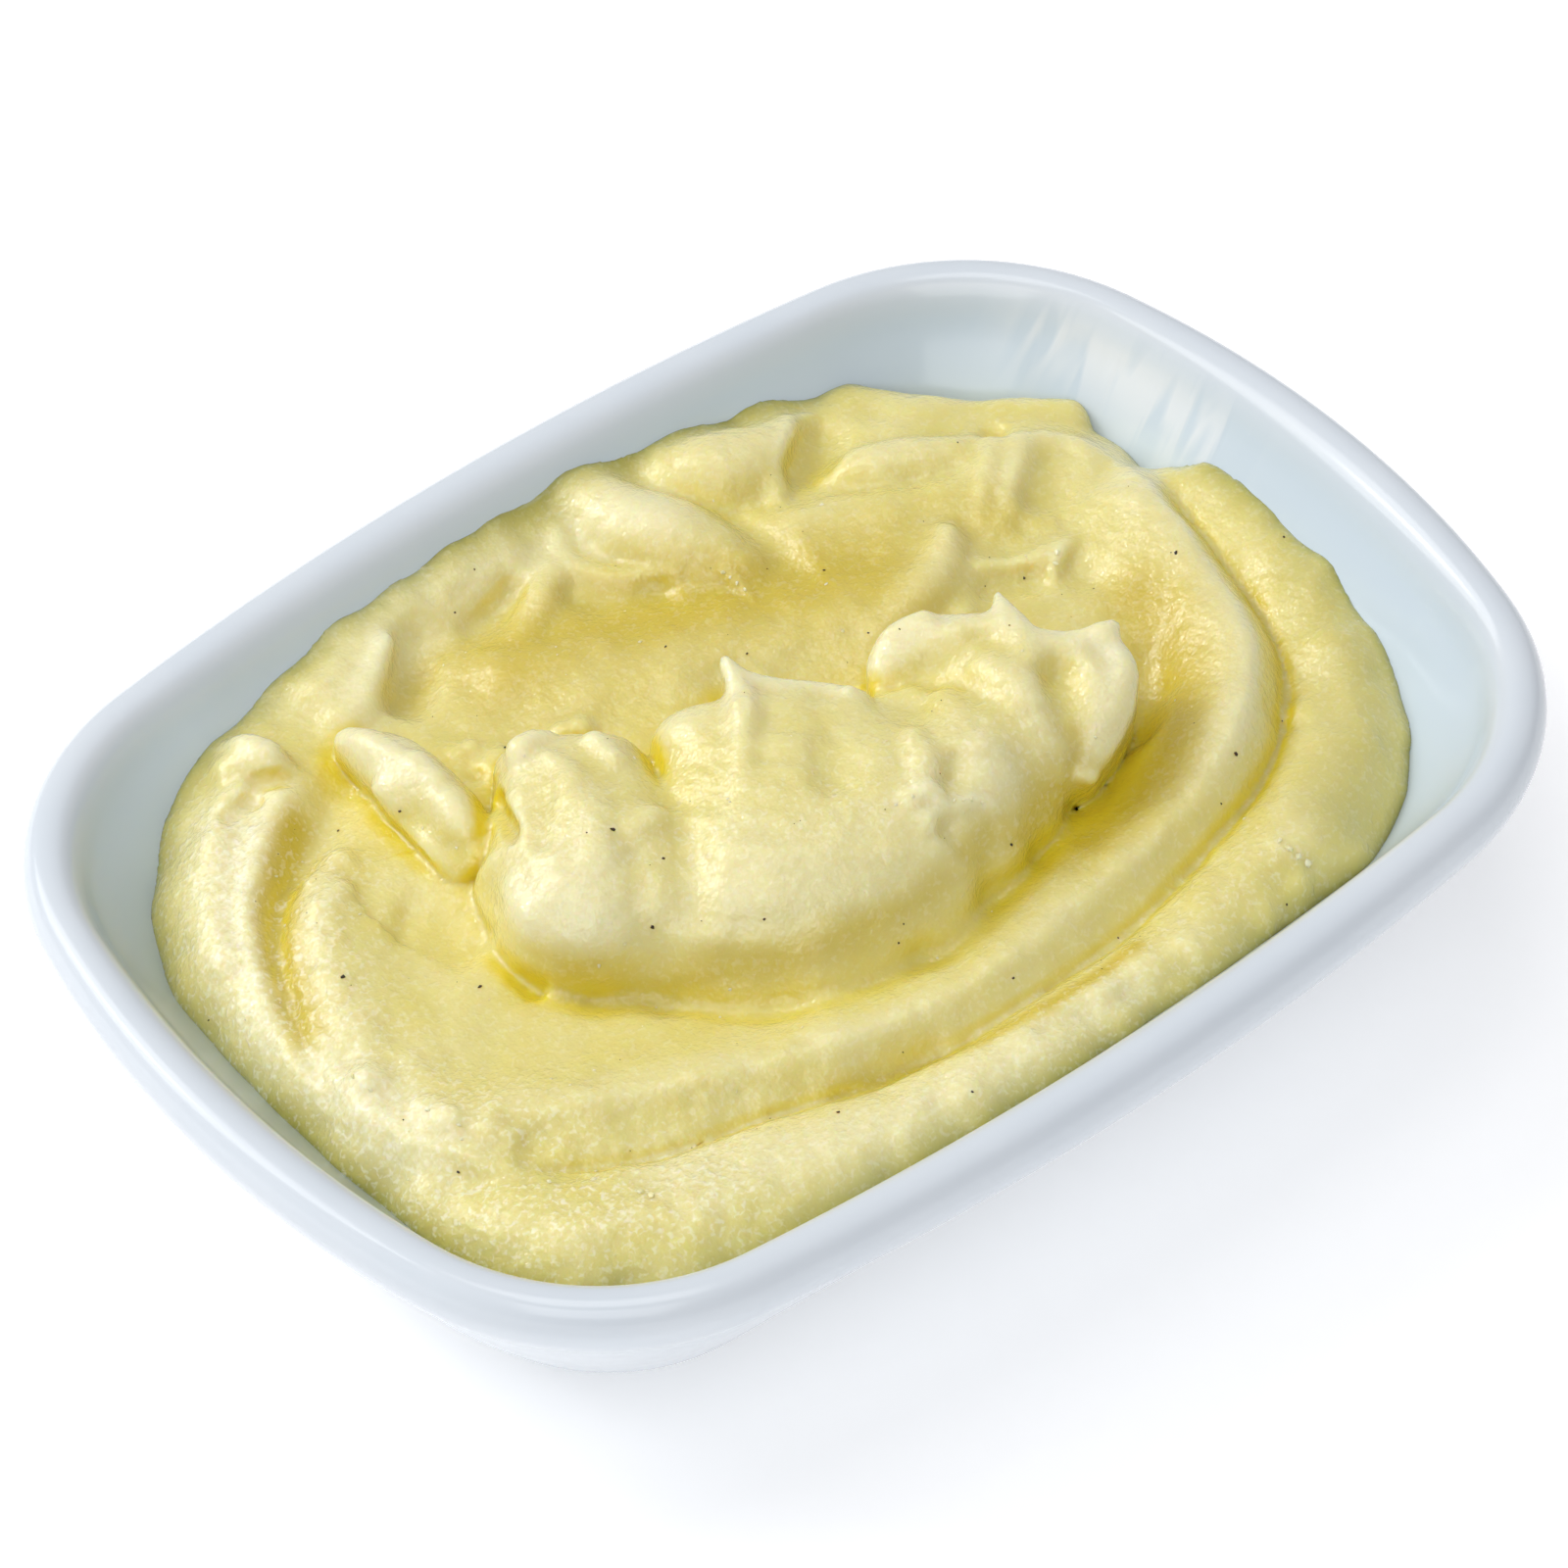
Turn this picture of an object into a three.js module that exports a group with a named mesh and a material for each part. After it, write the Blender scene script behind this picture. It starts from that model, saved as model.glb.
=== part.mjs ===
// Mashed potato in an oblong porcelain side dish.
// Units millimetres, +Z up, long side of the dish along X, origin on the table
// under the middle of the dish.
import * as THREE from 'three';

// ---------------------------------------------------------------- dish sizes
const DISH_LENGTH = 165;        // over the rim
const DISH_WIDTH = 119.8;       // over the rim
const DISH_HEIGHT = 36;
const LONG_SIDE_RADIUS = 362;   // the rim's long sides bow out
const SHORT_SIDE_RADIUS = 124;  // the short sides bow more
const CORNER_RADIUS = 33.4;
const WALL_START = 4;           // inset at which the outline begins to straighten
const WALL_RUN = 20.5;          // inset over which it does so, down to the foot
const LONG_STRAIGHTEN = 560;    // growth of the long side's radius on the way down
const SHORT_STRAIGHTEN = 150;
const CORNER_KEEP = 10.3;       // how much rounder the foot's corners stay
const INNER_SHOULDER = 4.6;     // inset of the inner wall's line at rim level
const INNER_SLOPE = 0.7;        // inset per millimetre of depth
const FLOOR_Z = 4.3;
const FOOT_RECESS = 1.5;

// ---------------------------------------------------------------- mash sizes
const MASH_GAP = 0.85;          // sideways clearance to the wall
const MASH_FLOOR_GAP = 0.35;
const EDGE_ROLL = 3.2;          // how quickly the heap rounds down at the wall
const BASE_LEVEL = 27.3;        // level of the mash between its ridges
const BASE_TILT = 0.04;         // it lies higher along the far long side
const CELLS_LONG = 60;
const CELLS_SHORT = 40;
const AROUND = 64;              // segments round the dish

const HALF_LENGTH = DISH_LENGTH / 2;
const HALF_WIDTH = DISH_WIDTH / 2;
const clamp = (v, lo, hi) => Math.min(hi, Math.max(lo, v));

// Distance from the middle to the outline, in direction theta, for a section
// that lies `inset` inside the rim: two long arcs, two short arcs, four fillets.
function outlineRadius(theta, inset) {
  const q = clamp((inset - WALL_START) / WALL_RUN, 0, 1);
  const a = HALF_LENGTH - inset;
  const b = HALF_WIDTH - inset;
  const r1 = LONG_SIDE_RADIUS - inset + LONG_STRAIGHTEN * q;
  const r2 = SHORT_SIDE_RADIUS - inset + SHORT_STRAIGHTEN * q;
  const rc = Math.max(6, CORNER_RADIUS - inset + CORNER_KEEP * q);
  let th = Math.abs(Math.atan2(Math.sin(theta), Math.cos(theta)));
  if (th > Math.PI / 2) th = Math.PI - th;
  // centres of the long arc, the short arc and, between them, the fillet
  const y0 = b - r1, x1 = a - r2;
  const s0 = r1 - rc, s1 = r2 - rc;
  const d = Math.hypot(x1, y0);
  const k = (s0 * s0 - s1 * s1 + d * d) / (2 * d);
  const h = Math.sqrt(Math.max(s0 * s0 - k * k, 0));
  const ex = x1 / d, ey = -y0 / d;
  const px = k * ex, py = y0 + k * ey;
  let fx = px - h * ey, fy = py + h * ex;
  if (px + h * ey + py - h * ex > fx + fy) { fx = px + h * ey; fy = py - h * ex; }
  const hit = (cx, cy, r) => {
    const p = Math.cos(th) * cx + Math.sin(th) * cy;
    return p + Math.sqrt(Math.max(p * p - (cx * cx + cy * cy - r * r), 0));
  };
  const tA = Math.atan2(fy - y0, fx), tB = Math.atan2(fy, fx - x1);
  const seamLong = Math.atan2(y0 + r1 * Math.sin(tA), r1 * Math.cos(tA));
  const seamShort = Math.atan2(r2 * Math.sin(tB), x1 + r2 * Math.cos(tB));
  if (th > seamLong) return hit(0, y0, r1);
  if (th < seamShort) return hit(x1, 0, r2);
  return hit(fx, fy, rc);
}

// Directions spread so that the steps along the rim are even.
function evenDirections(count) {
  const fine = 2880, run = [0];
  let px = outlineRadius(0, 0), py = 0;
  for (let i = 1; i <= fine; i++) {
    const th = (i / fine) * 2 * Math.PI, r = outlineRadius(th, 0);
    const x = r * Math.cos(th), y = r * Math.sin(th);
    run.push(run[i - 1] + Math.hypot(x - px, y - py));
    px = x; py = y;
  }
  const out = [];
  let j = 0;
  for (let i = 0; i < count; i++) {
    const want = (i / count) * run[fine];
    while (run[j + 1] < want) j++;
    const f = (want - run[j]) / (run[j + 1] - run[j]);
    out.push(((j + f) / fine) * 2 * Math.PI);
  }
  return out;
}

function meshFrom(points, faces) {
  const g = new THREE.BufferGeometry();
  g.setAttribute('position', new THREE.Float32BufferAttribute(points.flat(), 3));
  g.setIndex(faces.flat());
  g.computeVertexNormals();
  return g;
}

// ---------------------------------------------------------------- the dish
// Section of the wall as [inset, height], from under the foot, up the outside,
// over the rounded rim and down the inside to the floor.
function dishSection() {
  const s = [
    [31.0, FOOT_RECESS], [28.4, FOOT_RECESS], [27.5, 0], [24.4, 0], [23.2, 0.9],
    [20.3, 3.1],
  ];
  // outer wall: a straight slope of about 36 degrees from the vertical
  for (const z of [8.5, 14, 19.5, 25]) s.push([0.73 * (DISH_HEIGHT - z) - 3.72, z]);
  s.push([1.25, 28.9], [0.25, 31.0]);
  // rounded rim
  s.push([0, 33.0], [0.5, 34.7], [1.55, 35.75], [2.9, 36], [4.4, 35.7], [5.65, 34.9], [6.6, 33.7], [8.2, 30.9]);
  // inner wall and its rounded turn into the floor
  for (const z of [25, 18, 11.5]) s.push([INNER_SHOULDER + INNER_SLOPE * (DISH_HEIGHT - z), z]);
  s.push([24.6, 7.4], [27.2, 5.3], [31.0, FLOOR_Z]);
  return s;
}

function dishGeometry() {
  const dirs = evenDirections(AROUND), section = dishSection();
  const pts = [], faces = [];
  for (const [inset, z] of section) {
    for (const th of dirs) {
      const r = outlineRadius(th, inset);
      pts.push([r * Math.cos(th), r * Math.sin(th), z]);
    }
  }
  const n = AROUND;
  for (let k = 0; k < section.length - 1; k++) {
    for (let i = 0; i < n; i++) {
      const a = k * n + i, b = k * n + ((i + 1) % n), c = a + n, d = b + n;
      faces.push([a, b, d], [a, d, c]);
    }
  }
  const under = pts.length; pts.push([0, 0, FOOT_RECESS]);
  const floor = pts.length; pts.push([0, 0, FLOOR_Z]);
  const last = (section.length - 1) * n;
  for (let i = 0; i < n; i++) {
    const j = (i + 1) % n;
    faces.push([under, j, i], [floor, last + i, last + j]);
  }
  return meshFrom(pts, faces);
}

// ---------------------------------------------------------------- the mash
// A stroke is a ridge (+) or a groove (-) along a line left by the spoon. Where it
// has a `wide` half-width, that side faces the point `toward`.
const strokes = [
  // outer turn of the swirl, along the near long side and round the right end
  { h: 1.5, w: 5, at: [[-71, 10], [-72.5, -8.5], [-67, -22], [-58, -30.5], [-45.5, -37], [-31, -40.5], [0, -44.5], [18, -43.5], [35.5, -40], [49.5, -34], [59.5, -26.5], [66, -16], [68.5, -5], [69, 6]] },
  // second turn, climbing towards the right end
  { h: 1.9, w: 2.6, toward: [-22, -18], wide: 5.5, at: [[-60.5, -10.5], [-42.5, -20], [-10.5, -31], [1, -32], [25.5, -29.5], [37.5, -26.5], [47.5, -21.5], [54.5, -14.5], [58, -5.5], [63, 17]] },
  { h: 2.2, w: 3.3, toward: [40, -2], wide: 9, at: [[33.5, -27.5], [44.5, -23], [53, -16.5], [57.5, -6], [62, 16]] },
  // furrow between the two turns
  { h: -2.0, w: 2.4, at: [[-57, -18.5], [-47, -25.5], [-19, -34.5], [3, -36.5], [28.5, -33.5], [42.5, -29.5], [55, -20.5], [59.5, -13.5], [67, 15]] },
  // furrow at the foot of the dollop
  { h: -1.9, w: 2.8, at: [[-36, 3.5], [-38, -4.5], [-17.5, -20.5], [-2, -24.5], [11, -22.5], [21.5, -18], [37.5, -13.5], [44, -9.5], [49, -3]] },
  // left end: two bands along the wall, the valley and the terrace beside it
  { h: 1.8, w: 3.2, at: [[-42.5, 41], [-49, 38.5], [-60.5, 27], [-67, 9.5], [-68.5, -0.5], [-68, -12]] },
  { h: 1.9, w: 2.6, at: [[-39.5, 38], [-54, 27], [-59, 20.5], [-62.5, 12], [-66, -6.5]] },
  { h: -2.2, w: 3, at: [[-31.5, 35.5], [-52, 25], [-60, 12.5], [-63, -0.5]] },
  { h: 2.2, w: 2, toward: [-52, 2], wide: 9, at: [[-41, 23], [-50, 23.5], [-53.5, 20], [-62.5, 1], [-63.5, -5.5], [-61.5, -12], [-53, -23]] },
  { h: -1.2, w: 4, at: [[-45, 15.5], [-38.5, 4.5]] },
  // plateau behind the dollop and the far side
  { h: 1.9, w: 6, at: [[-18, 30.5], [27.5, 16.5], [41, 15.5]] },
  { h: 2.1, w: 3.3, toward: [24, 12], wide: 9, at: [[22.5, 32.5], [33, 30], [40, 26], [54.5, 25], [60, 22.5], [62, 16.5]] },
  { h: 2, w: 4.5, at: [[-33.5, 45.5], [-14.5, 50.5], [2.5, 50.5]] },
  { h: -1.2, w: 3, at: [[-25.5, 37.5], [-16.5, 45], [-0.5, 45.5]] },
  { h: 1, w: 4, at: [[-16.5, 37], [2.5, 31]] },
];

// A lobe is a rounded roll of mash: balls of radius r strung along [x, y, z, r].
const lobes = [
  // dollop, left part with its two fronts and the ball behind
  [[-20.9, 17, 32, 5.6], [-25.4, 8.9, 31, 7.6], [-29.4, 1.3, 29.5, 8.2]],
  [[-16.9, 12.4, 32, 6.2], [-21, 4.8, 31, 7.2], [-26.6, -1, 29, 7.2], [-26.8, -4.2, 26.4, 5.2]],
  [[-5.8, 8.2, 33.2, 5.6], [-8.9, 3.6, 31.5, 5.6]],
  [[-13.2, 2.1, 31, 5], [-19.8, -5.9, 29.5, 6.4], [-22.2, -8.6, 26.2, 5]],
  // dollop, ribs of the body from the crest down to the foot
  [[-0.2, 7.2, 37, 2.2], [-2.7, 3.9, 35.6, 3.9], [-9, -3, 33, 5.8], [-14.9, -9.6, 30, 7]],
  [[4.4, 4.3, 36.8, 2.2], [1.7, 0.7, 35.2, 4.2], [-4.5, -7.2, 32.5, 6.4], [-9.2, -13.4, 29.6, 7.2]],
  [[8.5, -0.1, 36.4, 2], [5.6, -3.8, 34.6, 4.4], [0.6, -10.8, 32, 6.6], [-2.9, -16.3, 29.2, 6.8]],
  [[11.9, -4.4, 36, 1.9], [9.3, -8.8, 33.8, 4.8], [6, -14.7, 31.5, 6.6], [3.7, -18.5, 28.6, 5.8]],
  [[17.4, -5.9, 36.6, 2.4], [16.2, -9.8, 34.6, 4.8], [14.2, -14, 32.3, 6.4], [12.8, -17.4, 29, 5.4]],
  // dollop, right end
  [[23.6, -5.7, 37.6, 2.6], [24.3, -10.3, 35.8, 4.6], [22.8, -13.7, 32.5, 5.8], [19.3, -16.1, 29, 5]],
  [[30.4, -7.5, 37.6, 2.2], [31.9, -13, 35.2, 3.8], [26.6, -16.3, 30.5, 3.6]],
  // curled petal behind the crest
  [[16.1, 1.1, 34.4, 2.5], [21.1, 2.9, 36.2, 3.5], [27.5, -2, 37.4, 2.8]],
  // leaf-shaped lump beside the dollop
  [[-32.6, 36.2, 30.6, 2], [-31.4, 26, 30.6, 3.9], [-31.5, 20, 30.2, 3.9], [-31.6, 15.8, 29.6, 2.9]],
  // low lobes along the far side
  [[12.5, 50, 28.4, 4.4], [13.5, 43.7, 27.8, 5.8], [19, 32.5, 26.6, 4.4]],
  [[22.8, 47.1, 26.8, 5.2], [30.9, 43.2, 27.4, 5.2], [36.8, 44, 28.4, 3]],
  [[36.2, 36, 27, 2.8], [40.7, 33.7, 27.4, 3.8], [51.1, 28.7, 27.4, 3]],
  [[37, 22, 29.5, 2.2], [31, 20, 29.5, 2.6]],
  // knob by the left corner
  [[-43.5, 44, 26.6, 3], [-40.5, 42, 26.8, 3.2]],
];
const LOBE_FLANK = 1.35;        // steepness of a lobe's side below its round top

// The thin peaks pulled up by the spoon, as short ridges with a height at each end.
const peaks = [
  { at: [[1.3, 12.4], [-2.8, 4.9]], from: 42.6, to: 39.8, slope: 1.9 },
  { at: [[1.3, 11.4], [10.5, -0.2]], from: 40.4, to: 39, slope: 1.9 },
  { at: [[30.8, 0.4], [28.6, -6.5]], from: 43.0, to: 40.2, slope: 1.9 },
  { at: [[30, -6.5], [38, -10.4]], from: 40.2, to: 40.8, slope: 1.8 },
  { at: [[37, -10.8], [33, -16.9]], from: 40.2, to: 37.4, slope: 1.9 },
];

function distanceAlong(x, y, line) {
  let best = Infinity, where = 0;
  for (let i = 0; i < line.length - 1; i++) {
    const [ax, ay] = line[i], [bx, by] = line[i + 1];
    const dx = bx - ax, dy = by - ay;
    const f = clamp(((x - ax) * dx + (y - ay) * dy) / (dx * dx + dy * dy), 0, 1);
    const d = Math.hypot(x - ax - f * dx, y - ay - f * dy);
    if (d < best) { best = d; where = (i + f) / (line.length - 1); }
  }
  return [best, where];
}

const smoothMax = (a, b, k) => {
  const h = clamp(0.5 + (a - b) / (2 * k), 0, 1);
  return b + (a - b) * h + k * h * (1 - h);
};

// Which side of a line a point lies on, judged at the line's nearest piece.
function sideOf(x, y, line) {
  let best = Infinity, side = 1;
  for (let i = 0; i < line.length - 1; i++) {
    const [ax, ay] = line[i], [bx, by] = line[i + 1];
    const dx = bx - ax, dy = by - ay;
    const f = clamp(((x - ax) * dx + (y - ay) * dy) / (dx * dx + dy * dy), 0, 1);
    const d = Math.hypot(x - ax - f * dx, y - ay - f * dy);
    if (d < best) { best = d; side = Math.sign(dx * (y - ay) - dy * (x - ax)) || 1; }
  }
  return side;
}
for (const s of strokes) if (s.wide) s.side = sideOf(s.toward[0], s.toward[1], s.at);

// Height of a lobe's skin over (x, y): round on top, a straight flank below.
function lobeLevel(x, y, lobe) {
  let top = -Infinity;
  for (let i = 0; i < lobe.length - 1; i++) {
    const [ax, ay, az, ar] = lobe[i], [bx, by, bz, br] = lobe[i + 1];
    const dx = bx - ax, dy = by - ay;
    const f = clamp(((x - ax) * dx + (y - ay) * dy) / (dx * dx + dy * dy), 0, 1);
    const d = Math.hypot(x - ax - f * dx, y - ay - f * dy);
    const z = az + (bz - az) * f, r = ar + (br - ar) * f;
    const turn = r * LOBE_FLANK / Math.hypot(1, LOBE_FLANK);
    const skin = d < turn ? z + Math.sqrt(r * r - d * d) : z + Math.sqrt(r * r - turn * turn) - LOBE_FLANK * (d - turn);
    top = Math.max(top, skin);
  }
  return top;
}

function levelAt(x, y) {
  let z = BASE_LEVEL + BASE_TILT * y;
  for (const s of strokes) {
    const [d] = distanceAlong(x, y, s.at);
    const w = s.wide && sideOf(x, y, s.at) === s.side ? s.wide : s.w;
    z += s.h * Math.exp(-((d / w) ** 2));
  }
  for (const lobe of lobes) {
    const top = lobeLevel(x, y, lobe);
    if (top > z - 3) z = smoothMax(z, top, 0.8);
  }
  for (const p of peaks) {
    const [d, f] = distanceAlong(x, y, p.at);
    z = smoothMax(z, p.from + (p.to - p.from) * f - p.slope * Math.hypot(d, 0.4), 0.6);
  }
  return z;
}

// The same, softened over the size of a cell, so that the steep flanks stay even.
function openLevel(x, y) {
  const e = 1.1;
  let z = 2 * levelAt(x, y);
  for (const [dx, dy] of [[e, e], [e, -e], [-e, e], [-e, -e]]) z += levelAt(x + dx, y + dy);
  return z / 6;
}

// Where the mash meets the wall, as [direction in degrees, height]: high along the
// far long side, low in the corners, with a dip beside the right far corner.
const wallLevels = [
  [-180, 21.6], [-150, 22.5], [-90, 24], [-60, 23.2], [-40, 20.8], [-26, 22], [-15, 25.4], [0, 27.6],
  [9, 27.5], [16, 23.6], [24, 24.4], [33, 23.4], [42, 26.4], [52, 29.4], [67, 31], [78, 33], [90, 32.2],
  [105, 32.2], [119, 31], [132, 28.6], [141, 24.8], [151, 22.2], [166, 21.4], [180, 21.6],
];
function wallLevel(theta) {
  const deg = Math.atan2(Math.sin(theta), Math.cos(theta)) * 180 / Math.PI;
  let i = 0;
  while (i < wallLevels.length - 2 && wallLevels[i + 1][0] < deg) i++;
  const [a, za] = wallLevels[i], [b, zb] = wallLevels[i + 1];
  return za + (zb - za) * clamp((deg - a) / (b - a), 0, 1);
}

const mashInset = (z) => INNER_SHOULDER + INNER_SLOPE * (DISH_HEIGHT - z) + MASH_GAP;

// Direction in which the edge point of a square grid falls on the outline.
function edgeDirection(u, v) {
  const a = HALF_LENGTH - 10, b = HALF_WIDTH - 10, cx = a - 9, cy = b - 9;
  if (Math.abs(u) >= Math.abs(v)) {
    const f = v / Math.abs(u);
    return Math.atan2(cy * f, Math.sign(u) * (a - (a - cx) * f ** 4));
  }
  const f = u / Math.abs(v);
  return Math.atan2(Math.sign(v) * (b - (b - cy) * f ** 4), cx * f);
}

function mashGeometry() {
  const nx = CELLS_LONG, ny = CELLS_SHORT, pts = [], faces = [];
  const id = (i, j) => i * (ny + 1) + j;
  for (let i = 0; i <= nx; i++) {
    for (let j = 0; j <= ny; j++) {
      const u = -1 + 2 * i / nx, v = -1 + 2 * j / ny;
      const s = Math.max(Math.abs(u), Math.abs(v));
      if (s < 1e-9) { pts.push([0, 0, openLevel(0, 0)]); continue; }
      const th = edgeDirection(u / s, v / s), zw = wallLevel(th);
      const r = outlineRadius(th, mashInset(zw));
      const x = s * r * Math.cos(th), y = s * r * Math.sin(th);
      const roll = 1 - Math.exp(-((1 - s) * r) / EDGE_ROLL);
      pts.push([x, y, zw + (openLevel(x, y) - zw) * roll]);
    }
  }
  for (let i = 0; i < nx; i++) {
    for (let j = 0; j < ny; j++) {
      const a = id(i, j), b = id(i + 1, j), c = id(i + 1, j + 1), d = id(i, j + 1);
      if ((i < nx / 2) === (j < ny / 2)) faces.push([a, b, c], [a, c, d]);
      else faces.push([a, b, d], [b, c, d]);
    }
  }
  // the edge ring, anticlockwise, then rows down the wall to the floor
  const ring = [];
  for (let i = 0; i < nx; i++) ring.push(id(i, 0));
  for (let j = 0; j < ny; j++) ring.push(id(nx, j));
  for (let i = nx; i > 0; i--) ring.push(id(i, ny));
  for (let j = ny; j > 0; j--) ring.push(id(0, j));
  const n = ring.length, floor = FLOOR_Z + MASH_FLOOR_GAP;
  // [height, inset] of the rows below the edge
  const rows = [[15, mashInset(15)], [9.4, mashInset(9.4)], [6.4, 27.0], [floor, 31.4]];
  let above = ring;
  for (const [z, inset] of rows) {
    const row = ring.map((k) => {
      const th = Math.atan2(pts[k][1], pts[k][0]), r = outlineRadius(th, inset);
      pts.push([r * Math.cos(th), r * Math.sin(th), z]);
      return pts.length - 1;
    });
    for (let i = 0; i < n; i++) {
      const j = (i + 1) % n;
      faces.push([above[i], row[i], row[j]], [above[i], row[j], above[j]]);
    }
    above = row;
  }
  const mid = pts.length; pts.push([0, 0, floor]);
  for (let i = 0; i < n; i++) faces.push([mid, above[(i + 1) % n], above[i]]);
  return meshFrom(pts, faces);
}

// ---------------------------------------------------------------- assembly
const group = new THREE.Group();
group.name = 'mashed_potato_side';

const dish = new THREE.Mesh(
  dishGeometry(),
  new THREE.MeshStandardMaterial({ color: 0xe9eef2, roughness: 0.12, metalness: 0 }),
);
dish.name = 'dish';
group.add(dish);

const mash = new THREE.Mesh(
  mashGeometry(),
  new THREE.MeshStandardMaterial({ color: 0xe3cf72, roughness: 0.4, metalness: 0 }),
);
mash.name = 'mashed_potato';
group.add(mash);

export default group;
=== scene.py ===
import math
import bpy
import numpy as np
from mathutils import Matrix, Vector
from mathutils.bvhtree import BVHTree


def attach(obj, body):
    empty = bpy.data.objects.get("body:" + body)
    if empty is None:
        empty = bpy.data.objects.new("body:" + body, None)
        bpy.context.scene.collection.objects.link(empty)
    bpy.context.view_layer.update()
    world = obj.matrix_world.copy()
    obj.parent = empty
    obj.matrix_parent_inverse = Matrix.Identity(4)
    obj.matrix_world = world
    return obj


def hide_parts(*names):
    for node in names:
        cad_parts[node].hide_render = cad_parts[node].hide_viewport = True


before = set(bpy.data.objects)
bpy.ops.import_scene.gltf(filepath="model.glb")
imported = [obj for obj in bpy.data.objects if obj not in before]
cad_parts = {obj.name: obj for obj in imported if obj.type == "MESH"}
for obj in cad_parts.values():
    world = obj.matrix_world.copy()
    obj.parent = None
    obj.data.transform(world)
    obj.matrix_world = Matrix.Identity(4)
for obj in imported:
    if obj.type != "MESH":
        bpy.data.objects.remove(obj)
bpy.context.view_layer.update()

MM = 0.001
rng = np.random.default_rng(41)

# ------------------------------------------------------------------ camera
# The photo's viewing angle, distance and focal length. Lengths in mm.
AZ, EL, DIST, FOCAL = math.radians(-40.16), math.radians(46.34), 1051.02, 9821.3
TARGET = np.array([-2.99, -2.44, 36.0])
BACK = np.array([math.sin(AZ) * math.cos(EL), -math.cos(AZ) * math.cos(EL), math.sin(EL)])
EYE = TARGET + DIST * BACK
RIGHT = np.cross(-BACK, [0, 0, 1]); RIGHT /= np.linalg.norm(RIGHT)
UP = np.cross(RIGHT, -BACK)
EYE = EYE - 0.38 * UP


def at(u, v, z):
    """Point of the part at height z (mm) that the photo shows at (u, v) of 1600 x 1600."""
    d = -BACK + (u - 800) / FOCAL * RIGHT - (v - 800) / FOCAL * UP
    return EYE + (z - EYE[2]) / d[2] * d


cam_data = bpy.data.cameras.new("camera")
cam_data.sensor_width = 36.0
cam_data.lens = 36.0 * FOCAL / 1600
cam_data.clip_start, cam_data.clip_end = 0.05, 20
camera = bpy.data.objects.new("camera", cam_data)
bpy.context.collection.objects.link(camera)
rot = Matrix((RIGHT, UP, BACK)).transposed()
camera.matrix_world = Matrix.Translation(Vector(EYE * MM)) @ rot.to_4x4()
bpy.context.scene.camera = camera

# ------------------------------------------------------------------ dish form
HALF_L, HALF_W, HEIGHT = 82.5, 59.9, 36.0
FLOOR_Z = 4.3


def outline(theta, inset):
    """Distance from the middle to the dish's outline, `inset` mm inside the rim."""
    theta, inset = np.broadcast_arrays(np.asarray(theta, float), np.asarray(inset, float))
    q = np.clip((inset - 4) / 20.5, 0, 1)
    a, b = HALF_L - inset, HALF_W - inset
    r1, r2 = 362 - inset + 560 * q, 124 - inset + 150 * q
    rc = np.maximum(6, 33.4 - inset + 10.3 * q)
    th = np.abs(np.arctan2(np.sin(theta), np.cos(theta)))
    th = np.where(th > np.pi / 2, np.pi - th, th)
    y0, x1 = b - r1, a - r2
    s0, s1 = r1 - rc, r2 - rc
    d = np.hypot(x1, y0)
    k = (s0 * s0 - s1 * s1 + d * d) / (2 * d)
    h = np.sqrt(np.maximum(s0 * s0 - k * k, 0))
    ex, ey = x1 / d, -y0 / d
    px, py = k * ex, y0 + k * ey
    ax, ay, bx, by = px - h * ey, py + h * ex, px + h * ey, py - h * ex
    pick = bx + by > ax + ay
    fx, fy = np.where(pick, bx, ax), np.where(pick, by, ay)
    c, s = np.cos(th), np.sin(th)

    def hit(cx, cy, r):
        p = c * cx + s * cy
        return p + np.sqrt(np.maximum(p * p - (cx * cx + cy * cy - r * r), 0))

    ta, tb = np.arctan2(fy - y0, fx), np.arctan2(fy, fx - x1)
    seam_l = np.arctan2(y0 + r1 * np.sin(ta), r1 * np.cos(ta))
    seam_s = np.arctan2(r2 * np.sin(tb), x1 + r2 * np.cos(tb))
    return np.where(th > seam_l, hit(0 * a, y0, r1), np.where(th < seam_s, hit(x1, 0 * a, r2), hit(fx, fy, rc)))


def inner_inset(z):
    """Inset of the dish's inner surface at height z."""
    return np.interp(z, [4.3, 5.3, 7.4, 11.5, 36.0], [31.0, 27.2, 24.6, 21.75, 4.6])


def new_object(name, verts, faces, smooth=True):
    me = bpy.data.meshes.new(name)
    verts = np.asarray(verts, np.float32) * MM
    faces = [np.asarray(f) for f in faces if len(f)]
    me.vertices.add(len(verts))
    me.vertices.foreach_set("co", verts.ravel())
    loops = np.concatenate([f.ravel() for f in faces]).astype(np.int32)
    sizes = np.concatenate([np.full(len(f), f.shape[1], np.int32) for f in faces])
    me.loops.add(len(loops))
    me.loops.foreach_set("vertex_index", loops)
    me.polygons.add(len(sizes))
    me.polygons.foreach_set("loop_start", (np.cumsum(sizes) - sizes).astype(np.int32))
    me.update(calc_edges=True)
    me.validate()
    me.polygons.foreach_set("use_smooth", np.full(len(me.polygons), smooth))
    me.update()
    o = bpy.data.objects.new(name, me)
    bpy.context.collection.objects.link(o)
    return o


def even_directions(n):
    th = np.linspace(0, 2 * np.pi, 5761)
    r = outline(th, 0.0)
    run = np.concatenate([[0], np.cumsum(np.hypot(np.diff(r * np.cos(th)), np.diff(r * np.sin(th))))])
    return np.interp(np.arange(n) / n * run[-1], run, th)


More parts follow.
